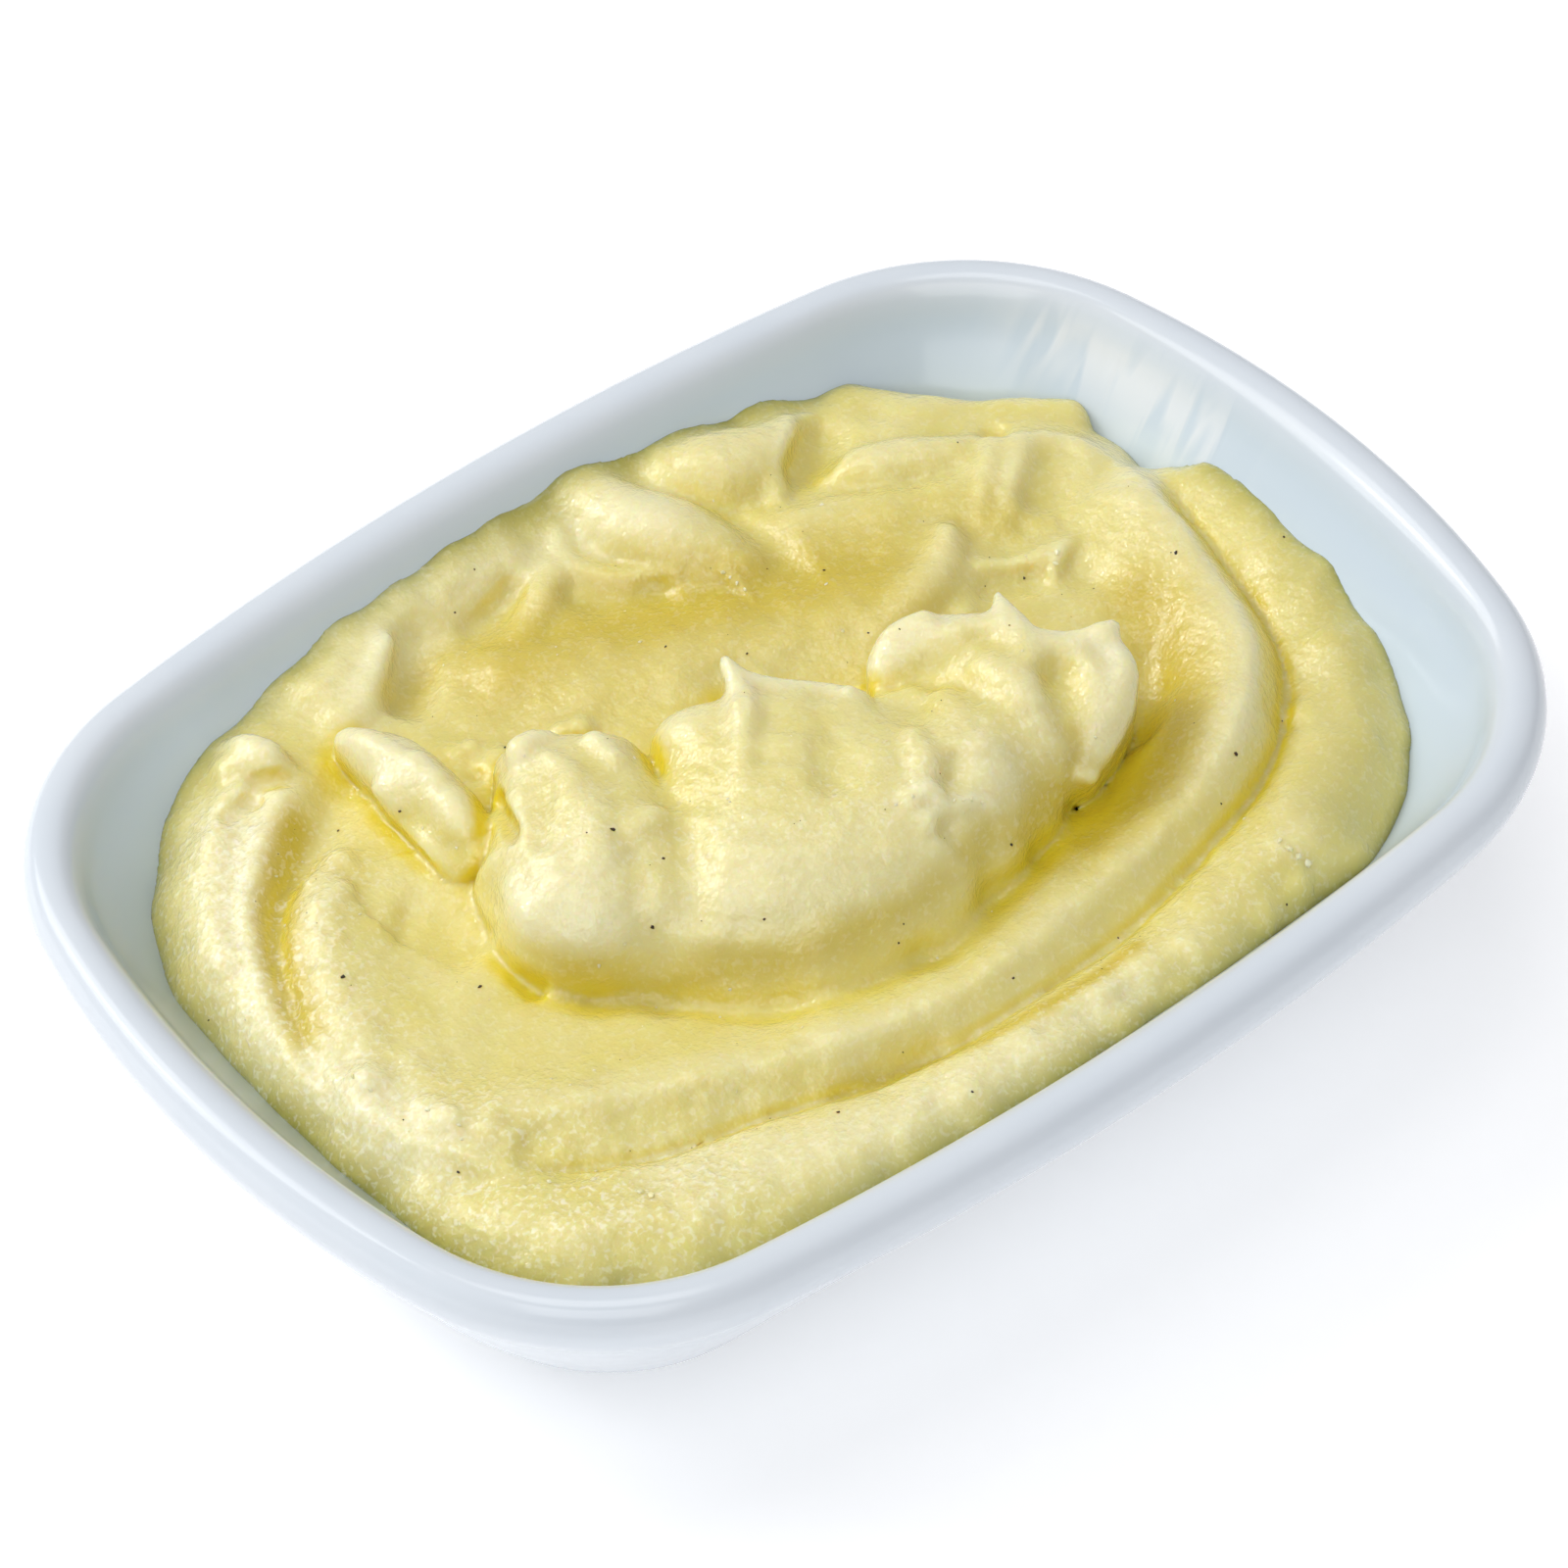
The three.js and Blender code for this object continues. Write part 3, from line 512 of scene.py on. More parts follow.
    # front bumps and the creases between them
    h.groove([(692, 852, 1.0, 2.3), (706, 885, 0.9, 2.5), (706, 925, 0.4, 2.6)], k=2.0)
    h.groove([(848, 755, 0.3, 2.2), (852, 800, 0.3, 2.6)], k=2.0)
    h.ridge([(758, 720, 0.5, 1.1), (757, 760, 0.4, 1.3), (755, 800, 0.2, 1.5)], k=1.2)
    h.ridge([(932, 752, 0.7, 1.6), (942, 775, 0.9, 2.0), (940, 795, 0.5, 1.6)], k=1.2)
    h.ridge([(928, 815, 0.5, 1.0), (946, 808, 1.0, 1.2), (962, 822, 0.5, 1.1), (952, 838, 0.5, 1.4)], k=0.9)
    h.ridge([(974, 822, 0.5, 0.7), (992, 816, 0.7, 0.8), (1012, 820, 0.5, 0.7)], k=0.5)
    h.groove([(972, 790, 0.6, 1.2), (978, 772, 0.5, 1.0)], k=1.2)
    h.groove([(968, 845, 0.9, 1.6), (980, 862, 0.6, 1.4)], k=1.2)
    h.groove([(1078, 690, 0.3, 2.0), (1082, 730, 0.4, 2.0)], k=1.8)
    h.ridge([(1102, 790, 0.5, 0.9), (1114, 793, 0.5, 0.8)], k=0.7)
    h.ridge([(528, 776, 0.8, 1.3), (540, 756, 1.2, 1.5), (556, 750, 0.7, 1.2)], k=0.9)
    h.ridge([(572, 748, 1.0, 1.4), (592, 744, 1.3, 1.7)], k=1.0)
    h.ridge([(606, 754, 0.9, 1.5), (628, 772, 0.7, 1.3)], k=0.9)
    h.ridge([(560, 772, 0.5, 1.3), (580, 784, 0.4, 1.3)], k=1.0)
    h.ridge([(585, 800, 0.5, 1.8), (606, 830, 0.6, 2.2), (610, 870, 0.3, 2.0)], k=2.0)
    h.groove([(548, 800, 0.5, 1.8), (552, 850, 0.4, 2.0)], k=1.8)
    h.ridge([(520, 905, 0.4, 1.6), (536, 935, 0.5, 1.8)], k=1.4)
    h.ridge([(502, 878, 0.4, 1.2), (492, 905, 0.6, 1.4), (500, 935, 0.3, 1.3)], k=1.2)
    # ---- leaf-shaped lump and crumbs beside the dollop
    h.chain([(360, 761, 30.6, 2.0), (390, 778, 30.8, 3.3), (428, 808, 30.6, 3.9), (462, 842, 30.2, 3.9), (486, 868, 29.6, 2.9)], k=1.0)
    h.ridge([(352, 752, 0.6, 1.2), (376, 756, 0.9, 1.6), (398, 768, 0.5, 1.4)], k=1.0)
    h.ridge([(424, 778, 0.9, 1.9), (440, 792, 0.6, 1.5)], k=1.2)
    h.ridge([(392, 800, 0.6, 1.5), (408, 816, 0.9, 1.7)], k=1.4)
    h.ridge([(458, 816, 0.6, 1.7), (474, 842, 0.7, 1.8)], k=1.4)
    h.ridge([(440, 858, 0.9, 1.6), (466, 884, 0.9, 1.6)], k=1.4)
    h.groove([(410, 815, 0.4, 1.8), (452, 862, 0.3, 1.8)], k=1.6)
    h.ridge([(385, 805, 0.5, 0.8), (412, 840, 0.5, 0.8), (440, 870, 0.5, 0.8), (466, 894, 0.4, 0.7)], k=0.8)
    h.ridge([(466, 768, 0.5, 1.1), (480, 762, 0.7, 1.1)], k=0.8)
    h.ridge([(498, 786, 0.8, 1.8), (510, 772, 1.0, 1.8), (526, 762, 0.8, 1.5)], k=1.0)
    h.groove([(486, 790, 0.8, 1.1), (506, 818, 1.2, 1.3), (522, 852, 0.8, 1.0)], k=0.9)
    # ---- left knob
    h.ridge([(238, 786, 1.9, 2.9), (262, 780, 2.5, 3.3), (284, 792, 1.6, 2.5)], k=1.0)
    h.ridge([(232, 764, 0.8, 1.5), (252, 757, 0.9, 1.6), (274, 762, 0.7, 1.5)], k=0.9)
    h.groove([(300, 792, 0.7, 1.4), (262, 800, 0.6, 1.2)], k=1.0)
    h.groove([(232, 830, 0.9, 1.2), (256, 814, 1.1, 1.3)], k=1.0)
    h.ridge([(343, 878, 0.9, 2.0)], k=1.6)
    h.ridge([(374, 1100, 1.2, 2.0)], k=1.4)
    h.ridge([(430, 1128, 0.8, 1.6), (455, 1142, 0.9, 1.8)], k=1.2)
    h.ridge([(500, 1150, 0.5, 1.5), (520, 1160, 0.5, 1.5)], k=1.2)
    h.ridge([(350, 905, 0.5, 1.6), (325, 925, 0.6, 1.6)], k=1.2)
    # ---- far side
    h.ridge([(568, 545, 0.7, 1.5), (577, 570, 0.9, 1.5), (604, 584, 0.9, 1.5), (645, 590, 0.8, 1.3), (682, 584, 0.5, 1.2)], k=1.2)
    h.groove([(560, 600, 0.7, 1.8), (610, 612, 0.8, 1.8), (670, 606, 0.6, 1.8)], k=1.6)
    h.ridge([(826, 428, 0.6, 1.2), (806, 455, 0.7, 1.8), (798, 485, 0.7, 1.8), (792, 512, 0.7, 1.3)], k=1.2)
    h.groove([(842, 445, 0.9, 2.8), (822, 484, 0.6, 2.2)], k=2.0)
    h.ridge([(1012, 452, 0.5, 1.2), (1006, 490, 0.6, 1.4), (1000, 530, 0.2, 1.4)], k=1.4)
    h.ridge([(1040, 446, 0.6, 1.5), (1036, 490, 0.8, 1.6), (1024, 535, 0.3, 1.6)], k=1.4)
    h.groove([(1082, 462, 0.9, 2.6), (1062, 505, 0.9, 2.6)], k=2.2)
    h.groove([(1014, 440, 1.0, 1.6)], k=1.2)
    h.ridge([(966, 552, 1.8, 1.9), (958, 580, 1.4, 2.3), (932, 612, 0.9, 2.4), (900, 642, 0.3, 2.0)], k=2.0)
    h.ridge([(1004, 578, 0.6, 1.0), (1050, 573, 0.8, 1.1), (1088, 556, 0.8, 1.0)], k=1.2)
    h.ridge([(1084, 562, 0.6, 0.8), (1074, 588, 0.5, 0.8)], k=0.8)
    h.groove([(1008, 600, 0.8, 1.7), (1055, 594, 0.7, 1.5)], k=1.6)
    h.groove([(1112, 590, 0.5, 2.6)], k=2.0)
    h.ridge([(738, 583, 0.4, 0.6), (752, 594, 0.5, 0.7), (766, 610, 0.3, 0.5)], k=0.5)
    h.ridge([(562, 590, 1.2, 1.6), (550, 615, 1.3, 2.0), (530, 645, 0.5, 1.6)], k=1.8)
    h.groove([(522, 600, 0.8, 1.5), (500, 625, 0.9, 1.5), (480, 642, 0.4, 1.2)], k=1.4)
    h.ridge([(395, 662, 1.6, 1.7), (386, 692, 1.4, 2.2), (368, 718, 0.9, 2.6), (345, 742, 0.4, 2.4)], k=1.8)
    h.groove([(428, 655, 0.5, 2.4), (424, 690, 0.8, 2.6), (412, 718, 0.4, 2.2)], k=2.2)
    h.groove([(1168, 705, 1.2, 3.2), (1150, 745, 1.0, 3.0)], k=2.4)
    # ---- right band
    h.ridge([(1330, 728, 0.7, 2.2)], k=1.8)
    h.ridge([(1325, 905, 0.7, 1.7)], k=1.4)
    h.ridge([(1240, 985, 0.6, 2.4), (1215, 970, 0.6, 2.4)], k=1.8)
    h.ridge([(1290, 940, 0.6, 2.0)], k=1.6)
    h.groove([(1070, 1048, 0.3, 1.6), (1130, 1025, 0.5, 1.6), (1205, 985, 0.3, 1.6)], k=1.6)
    h.settle()
    return h


def make_mash():
    h = build_heap()
    v, q = h.skin()
    # leave out what lies beyond the wall, and all but the largest sheet
    theta = np.arctan2(v[:, 1], v[:, 0])
    lim = outline(theta, inner_inset(v[:, 2]) - 0.9)
    keep_v = np.hypot(v[:, 0], v[:, 1]) < lim
    q = q[keep_v[q].all(1)]
    lab = np.arange(len(v))
    while True:                                   # connected sheets by label spreading
        m = lab[q].min(1)
        new = lab.copy()
        np.minimum.at(new, q.ravel(), np.repeat(m, 4))
        new = new[new]
        if (new == lab).all():
            break
        lab = new
    big = np.bincount(lab[q[:, 0]]).argmax()
    q = q[lab[q[:, 0]] == big]
    used = np.unique(q)
    remap = -np.ones(len(v), int); remap[used] = np.arange(len(used))
    v, q = v[used], remap[q]
    # ease the grid out of the surface
    e = np.unique(np.sort(np.concatenate([q[:, [0, 1]], q[:, [1, 2]], q[:, [2, 3]], q[:, [3, 0]]]), 1), axis=0)
    deg = np.bincount(e.ravel(), minlength=len(v))[:, None]
    he = np.sort(np.concatenate([q[:, [0, 1]], q[:, [1, 2]], q[:, [2, 3]], q[:, [3, 0]]]), 1)
    uniq, cnt = np.unique(he, axis=0, return_counts=True)
    rim = np.zeros(len(v), bool); rim[uniq[cnt == 1].ravel()] = True

    def ease(p, amount):
        s = np.zeros_like(p)
        for a in range(3):
            s[:, a] = np.bincount(e[:, 0], p[e[:, 1], a], len(p)) + np.bincount(e[:, 1], p[e[:, 0], a], len(p))
        out = p + amount * (s / deg - p)
        out[rim] = p[rim]
        return out

    for _ in range(2):
        v = ease(ease(v, 0.5), -0.52)

    def normals(p):
        n = np.cross(p[q[:, 2]] - p[q[:, 0]], p[q[:, 3]] - p[q[:, 1]])
        out = np.zeros_like(p)
        for c in range(4):
            for a in range(3):
                out[:, a] += np.bincount(q[:, c], n[:, a], len(p))
        return out / np.maximum(np.linalg.norm(out, axis=1, keepdims=True), 1e-9)

    n = normals(v)
    # how enclosed (creases) and how thin (peaks) each point is, from the field; creases get painted shade and thin
    # peaks painted light shining through
    hollow = np.clip(1 - h.sample(v + n * 2.4) / 2.4, 0, 1)
    hollow = 0.5 * hollow + 0.5 * np.clip(1 - h.sample(v + n * 5.0) / 5.0, 0, 1)
    thin = np.clip(1 + h.sample(v - n * 2.0) / 2.0, 0, 1) * np.clip(1 - 1.6 * hollow, 0, 1)
    # how far each point stands over or under its surroundings, in mm; the material uses it to paint crests lighter
    # and low spots deeper gold, as painted light and shade
    gx, gy = np.arange(-76, 77.0), np.arange(-56, 58.0)
    ij = np.clip(np.round(v[:, :2] - [gx[0], gy[0]]).astype(int), 0, [len(gx) - 1, len(gy) - 1])
    top = np.full((len(gx), len(gy)), -1.0)
    np.maximum.at(top, (ij[:, 0], ij[:, 1]), v[:, 2])
    has = (top > 0).astype(float)

    def blur(a, s):
        x = np.arange(-int(3 * s), int(3 * s) + 1)
        w = np.exp(-0.5 * (x / s) ** 2); w /= w.sum()
        a = np.apply_along_axis(lambda r: np.convolve(r, w, "same"), 0, a)
        return np.apply_along_axis(lambda r: np.convolve(r, w, "same"), 1, a)

    relief = 0
    for s_, share in ((2.2, 0.9), (5.0, 0.6)):
        m = blur(top * has, s_) / np.maximum(blur(has, s_), 1e-3)
        q2 = v[:, :2] - [gx[0], gy[0]]
        i0 = np.clip(np.floor(q2).astype(int), 0, [len(gx) - 2, len(gy) - 2]); fr = np.clip(q2 - i0, 0, 1)
        i, j, fx, fy = i0[:, 0], i0[:, 1], fr[:, 0], fr[:, 1]
        mm = m[i, j] * (1 - fx) * (1 - fy) + m[i + 1, j] * fx * (1 - fy) + m[i, j + 1] * (1 - fx) * fy + m[i + 1, j + 1] * fx * fy
        relief = relief + share * np.clip(v[:, 2] - mm, -4, 4)
    # golden stretches: the plateau behind the dollop, the valley on its right, the foot and the furrows; partly the
    # mash's own golden tone, partly painted shade in the valley, foot and furrows
    q3 = (v[:, 0], v[:, 1])
    gold_and_painted_shade = np.zeros(len(v))
    for w, share, z, uv in ((8.5, 0.95, 29, [(520, 680), (590, 655), (690, 628), (790, 606), (880, 590)]),
                            (5.2, 1.0, 30, [(1165, 600), (1195, 650), (1200, 710), (1165, 770), (1110, 830)]),
                            (5.0, 0.4, 30, [(1185, 555), (1235, 620), (1255, 700)]),
                            (1.5, 0.65, 26, [(556, 1000), (590, 1014), (640, 1017), (720, 1012), (800, 1008), (880, 984), (950, 948), (1010, 896)]),
                            (1.2, 0.9, 27, [(1160, 958), (1060, 1024), (985, 1056), (900, 1082), (850, 1100)]),
                            (5.0, 0.5, 30, [(840, 570), (930, 548), (1020, 520)]),
                            (3.0, 0.6, 27, [(410, 720), (440, 690), (480, 665)]),
                            (2.2, 0.9, 27, [(1030, 880), (1075, 840), (1100, 810)]),
                            (2.4, 0.95, 26, [(300, 860), (287, 930), (290, 990), (315, 1060)]),
                            (2.0, 0.5, 28, [(1270, 600), (1300, 660), (1308, 730), (1270, 810)])):
        dist, _, _ = along(smooth_line([at(a, b, z)[:2] for a, b in uv]), *q3)
        gold_and_painted_shade = np.maximum(gold_and_painted_shade, share * np.exp(-((dist / w) ** 2)))
    gold_and_painted_shade = gold_and_painted_shade * np.clip(1 - 0.35 * np.maximum(relief, 0), 0.2, 1)
    # paler stretches: the dollop's front, the left end and the outer turn; partly paler mash, partly painted light
    # on the dollop's shaded front
    pale_and_painted_light = np.zeros(len(v))
    for w, share, z, uv in ((8.0, 0.4, 31, [(590, 930), (760, 940), (900, 900), (1010, 830)]),
                            (7.0, 1.0, 29, [(260, 850), (250, 930), (300, 1060), (400, 1160)]),
                            (6.0, 0.7, 28, [(700, 1180), (850, 1150), (1000, 1085), (1150, 1000)]),
                            (6.0, 0.7, 30, [(380, 700), (470, 620), (560, 560), (660, 530)])):
        dist, _, _ = along(smooth_line([at(a, b, z)[:2] for a, b in uv]), *q3)
        pale_and_painted_light = np.maximum(pale_and_painted_light, share * np.exp(-((dist / w) ** 2)))
    pale_and_painted_light = pale_and_painted_light * (1 - gold_and_painted_shade)
    # painted shade where the mash meets the wall: a dark band along the contact, wider at the left end, weaker on
    # the far side's left half, and a dark line along the right end
    th_ = np.arctan2(v[:, 1], v[:, 0])
    side_gap = outline(th_, inner_inset(v[:, 2])) - np.hypot(v[:, 0], v[:, 1])
    edge = np.exp(-np.maximum(side_gap, 0) / 3.4)
    edge = np.where(v[:, 0] < -45, np.exp(-np.maximum(side_gap, 0) / 4.6), edge)
    edge = edge * np.where((v[:, 0] < -10) & (v[:, 1] > 8), 0.7, 1.0)
    dist, _, _ = along(smooth_line([at(a, b, 26)[:2] for a, b in [(1340, 580), (1388, 660), (1400, 740), (1370, 820)]]), *q3)
    edge = np.maximum(edge, 0.6 * np.exp(-((dist / 7.0) ** 2)))
    # uneven skin of the mash, rougher and wetter at the near left of the swirl, where the same mask also paints
    # glints into the colour
    wet_skin_and_painted_glints = np.zeros(len(v))
    for w, share, z, uv in ((9.0, 1.0, 28, [(225, 880), (235, 980), (300, 1110), (430, 1200), (580, 1230), (720, 1200)]),
                            (6.0, 0.8, 28, [(320, 900), (330, 1010), (410, 1110), (560, 1160)]),
                            (6.0, 0.45, 28, [(720, 1200), (900, 1130), (1100, 1030), (1300, 880)]),
                            (6.0, 0.35, 33, [(560, 880), (700, 880), (860, 860), (1020, 780)])):
        dist, _, _ = along(smooth_line([at(a, b, z)[:2] for a, b in uv]), *q3)
        wet_skin_and_painted_glints = np.maximum(wet_skin_and_painted_glints, share * np.exp(-((dist / w) ** 2)))
    wet_skin_and_painted_glints = wet_skin_and_painted_glints * (1 - 0.6 * edge)
    pale_and_painted_light = pale_and_painted_light * (1 - 0.7 * edge)
    d = 0.24 * noise3(v + 3, 7.0) + 0.17 * noise3(v, 3.4) + (0.08 + 0.07 * wet_skin_and_painted_glints) * noise3(v + 17, 1.8) + (0.04 + 0.06 * wet_skin_and_painted_glints) * noise3(v + 5, 1.1)
    d = d * (1 - 0.8 * thin)
    v = np.where(rim[:, None], v, v + n * d[:, None])
    v[:, 2] = np.minimum(v[:, 2], 40.8)
    # body below the surface, down to the floor, reaching just into the wall
    edges = np.concatenate([q[:, [0, 1]], q[:, [1, 2]], q[:, [2, 3]], q[:, [3, 0]]])
    key = np.sort(edges, 1)
    _, first, count = np.unique(key, axis=0, return_index=True, return_counts=True)
    open_e = edges[first[count == 1]]
    verts, faces = [v], [q]
    ids = np.unique(open_e)
    th = np.arctan2(v[ids, 1], v[ids, 0])
    zb = v[ids, 2]
    pos = -np.ones(len(v), int); pos[ids] = np.arange(len(ids))
    top, base = ids, len(v)
    for k, (frac, low) in enumerate(((0.35, None), (0.75, None), (None, 8.5), (None, 6.2), (None, 4.0))):
        z = zb + (11.5 - zb) * frac if low is None else np.full(len(ids), low)
        ins = inner_inset(z) - 0.6 if low is None or low > 5 else np.full(len(ids), 31.0)
        r = outline(th, ins)
        verts.append(np.stack([r * np.cos(th), r * np.sin(th), z], -1))
        cur = np.arange(len(ids)) + base
        a, b = pos[open_e[:, 0]], pos[open_e[:, 1]]
        faces.append(np.stack([top[b], top[a], cur[a], cur[b]], -1))
        top, base = cur, base + len(ids)
    verts.append([[0, 0, 4.0]])
    a, b = pos[open_e[:, 0]], pos[open_e[:, 1]]
    faces.append(np.stack([top[b], top[a], np.full(len(a), base)], -1))
    allv = np.concatenate(verts)
    o = new_object("mash_heap", allv, faces)
    pad = len(allv) - len(v)
    for name, val in (("hollow", hollow), ("thin", thin), ("relief", relief), ("gold_and_painted_shade", gold_and_painted_shade), ("pale_and_painted_light", pale_and_painted_light), ("edge", edge), ("wet_skin_and_painted_glints", wet_skin_and_painted_glints)):
        at_ = o.data.attributes.new(name, "FLOAT", "POINT")
        at_.data.foreach_set("value", np.concatenate([val, np.zeros(pad)]).astype(np.float32))
    print("mash: %d vertices, %d quads above" % (len(allv), len(q)))
    return o, h


# ------------------------------------------------------------------ materials
class Nodes:
    def __init__(self, name):
        self.mat = bpy.data.materials.new(name)
        self.mat.use_nodes = True
        self.t = self.mat.node_tree
        self.bsdf = self.t.nodes["Principled BSDF"]
        self.coord = self.t.nodes.new("ShaderNodeTexCoord")

    def add(self, kind, **kw):
        n = self.t.nodes.new("ShaderNode" + kind)
        for k, val in kw.items():
            if hasattr(n, k):
                setattr(n, k, val)
            else:
                n.inputs[k.replace("_", " ")].default_value = val
        return n

    def link(self, a, b):
        self.t.links.new(a, b)

    def noise(self, size_mm, detail=3.0, rough=0.5, distort=0.0):
        n = self.add("TexNoise", Scale=1000.0 / size_mm, Detail=detail, Roughness=rough, Distortion=distort)
        self.link(self.coord.outputs["Object"], n.inputs["Vector"])
        return n.outputs["Fac"]

    def ramp(self, src, lo, hi, a=0.0, b=1.0):
        n = self.add("MapRange")
        n.inputs["From Min"].default_value, n.inputs["From Max"].default_value = lo, hi
        n.inputs["To Min"].default_value, n.inputs["To Max"].default_value = a, b
        self.link(src, n.inputs["Value"])
        return n.outputs["Result"]

    def mix(self, fac, a, b):
        n = self.add("Mix", data_type="RGBA")
        if isinstance(fac, float):
            n.inputs[0].default_value = fac
        else:
            self.link(fac, n.inputs[0])
        for s, val in ((6, a), (7, b)):
            if isinstance(val, tuple):
                n.inputs[s].default_value = (*val, 1)
            else:
                self.link(val, n.inputs[s])
        return n.outputs[2]

    def math(self, op, a, b):
        n = self.add("Math", operation=op)
        for s, val in ((0, a), (1, b)):
            if isinstance(val, (int, float)):
                n.inputs[s].default_value = val
            else:
                self.link(val, n.inputs[s])
        return n.outputs[0]

    def bump(self, src, strength, dist_mm, after=None):
        n = self.add("Bump")
        n.inputs["Strength"].default_value = strength
        n.inputs["Distance"].default_value = dist_mm * MM
        self.link(src, n.inputs["Height"])
        if after is not None:
            self.link(after, n.inputs["Normal"])
        return n.outputs["Normal"]


def porcelain():
    m = Nodes("porcelain_glaze")
    b = m.bsdf
    tone = m.ramp(m.noise(14, 2), 0.35, 0.7)
    inside = m.add("Attribute", attribute_name="inside").outputs["Fac"]
    ripple_and_painted_sheen = m.add("Attribute", attribute_name="ripple_and_painted_sheen").outputs["Fac"]
    # the glaze lies in upright ripples at the far corner; the colour there is lightened along the ripples as a
    # painted reflection
    t = at(1215, 440, 31) - at(1075, 338, 31)
    place = m.add("Mapping", vector_type="TEXTURE")
    place.inputs["Rotation"].default_value = (0, 0, math.atan2(t[1], t[0]))
    place.inputs["Scale"].default_value = (1, 7, 7)
    m.link(m.coord.outputs["Object"], place.inputs["Vector"])
    wave = m.add("TexNoise", Scale=1000 / 3.4, Detail=2.0, Roughness=0.45, Distortion=0.6)
    m.link(place.outputs["Vector"], wave.inputs["Vector"])
    c = m.mix(tone, (0.635, 0.685, 0.735), (0.655, 0.70, 0.745))
    c = m.mix(m.ramp(inside, 0.1, 1.0, 0.0, 0.95), c, (0.595, 0.695, 0.80))
    # painted shade on the inner wall at the left end
    c = m.mix(m.ramp(m.add("Attribute", attribute_name="painted_wall_shade").outputs["Fac"], 0.0, 1.0, 0.0, 0.5), c, (0.44, 0.54, 0.60))
    # painted reflection: lighter streaks along the ripples
    c = m.mix(m.math("MULTIPLY", m.ramp(wave.outputs["Fac"], 0.44, 0.54, 0.1, 0.8), ripple_and_painted_sheen), c, (0.83, 0.86, 0.90))
    m.link(c, b.inputs["Base Color"])
    m.link(m.ramp(m.noise(12, 2), 0.3, 0.7, 0.13, 0.18), b.inputs["Roughness"])
    ripple = m.add("Bump")
    ripple.inputs["Distance"].default_value = 0.22 * MM
    m.link(wave.outputs["Fac"], ripple.inputs["Height"])
    m.link(ripple_and_painted_sheen, ripple.inputs["Strength"])
    m.link(ripple.outputs["Normal"], b.inputs["Normal"])
    b.inputs["IOR"].default_value = 1.5
    return m.mat


def mash_material():
    m = Nodes("mash_moist")
    b = m.bsdf
    hollow = m.add("Attribute", attribute_name="hollow").outputs["Fac"]
    thin = m.add("Attribute", attribute_name="thin").outputs["Fac"]
    tone = m.ramp(m.noise(7, 3), 0.32, 0.7)
    relief = m.add("Attribute", attribute_name="relief").outputs["Fac"]
    gold_and_painted_shade = m.add("Attribute", attribute_name="gold_and_painted_shade").outputs["Fac"]
    edge = m.add("Attribute", attribute_name="edge").outputs["Fac"]
    pale_and_painted_light = m.add("Attribute", attribute_name="pale_and_painted_light").outputs["Fac"]
    c = m.mix(tone, (0.73, 0.64, 0.20), (0.76, 0.685, 0.285))
    # painted highlight on raised crests and painted shade in low spots
    c = m.mix(m.ramp(relief, 0.1, 2.4, 0.0, 0.7), c, (0.82, 0.785, 0.53))
    c = m.mix(m.ramp(relief, -0.3, -2.2, 0.0, 0.4), c, (0.79, 0.655, 0.13))
    # paler mash, with painted light on the dollop's front
    c = m.mix(m.ramp(pale_and_painted_light, 0.05, 0.95, 0.0, 0.75), c, (0.85, 0.81, 0.55))
    # golden tone with painted shade in the valley, foot and furrows
    c = m.mix(m.ramp(gold_and_painted_shade, 0.05, 0.95, 0.0, 0.92), c, (0.60, 0.46, 0.03))
    # painted shade: dark olive band where the mash meets the wall
    c = m.mix(m.ramp(edge, 0.22, 0.95, 0.0, 0.9), c, (0.42, 0.37, 0.05))
    wet_skin_and_painted_glints = m.add("Attribute", attribute_name="wet_skin_and_painted_glints").outputs["Fac"]
    grain_and_glint_noise = m.noise(0.72, 1.5, 0.55, 0.4)
    # painted glints: white specks with darker gaps between them in the grain, strongest at the near left
    c = m.mix(m.math("MULTIPLY", m.ramp(grain_and_glint_noise, 0.5, 0.34, 0.0, 1.0), m.ramp(wet_skin_and_painted_glints, 0.0, 1.0, 0.05, 0.34)), c, (0.69, 0.585, 0.14))
    c = m.mix(m.math("MULTIPLY", m.ramp(grain_and_glint_noise, 0.53, 0.68, 0.0, 1.0), m.ramp(wet_skin_and_painted_glints, 0.0, 1.0, 0.12, 0.5)), c, (0.95, 0.93, 0.78))
    # painted shade: deeper, darker gold in enclosed creases
    c = m.mix(m.ramp(hollow, 0.26, 0.75, 0.0, 0.95), c, (0.75, 0.60, 0.025))
    # painted light shining through thin peaks: paler cream
    c = m.mix(m.ramp(thin, 0.2, 0.95, 0.0, 0.5), c, (0.87, 0.85, 0.62))
    m.link(c, b.inputs["Base Color"])
    m.link(m.ramp(tone, 0.0, 1.0, 0.32, 0.44), b.inputs["Roughness"])
    b.inputs["IOR"].default_value = 1.46
    b.inputs["Subsurface Weight"].default_value = 0.85
    b.inputs["Subsurface Radius"].default_value = (1.0, 0.7, 0.22)
    b.inputs["Subsurface Scale"].default_value = 3.6 * MM
    b.inputs["Coat Weight"].default_value = 0.8
    b.inputs["Coat Roughness"].default_value = 0.13
    n1 = m.bump(m.noise(1.4, 2, 0.6), 0.5, 0.35)
    m.link(n1, b.inputs["Normal"])
    n2 = m.bump(grain_and_glint_noise, 1.0, 0.5, n1)
    m.link(m.ramp(wet_skin_and_painted_glints, 0.0, 1.0, 0.5, 1.0), n2.node.inputs["Strength"])
    m.link(n2, b.inputs["Coat Normal"])
    return m.mat


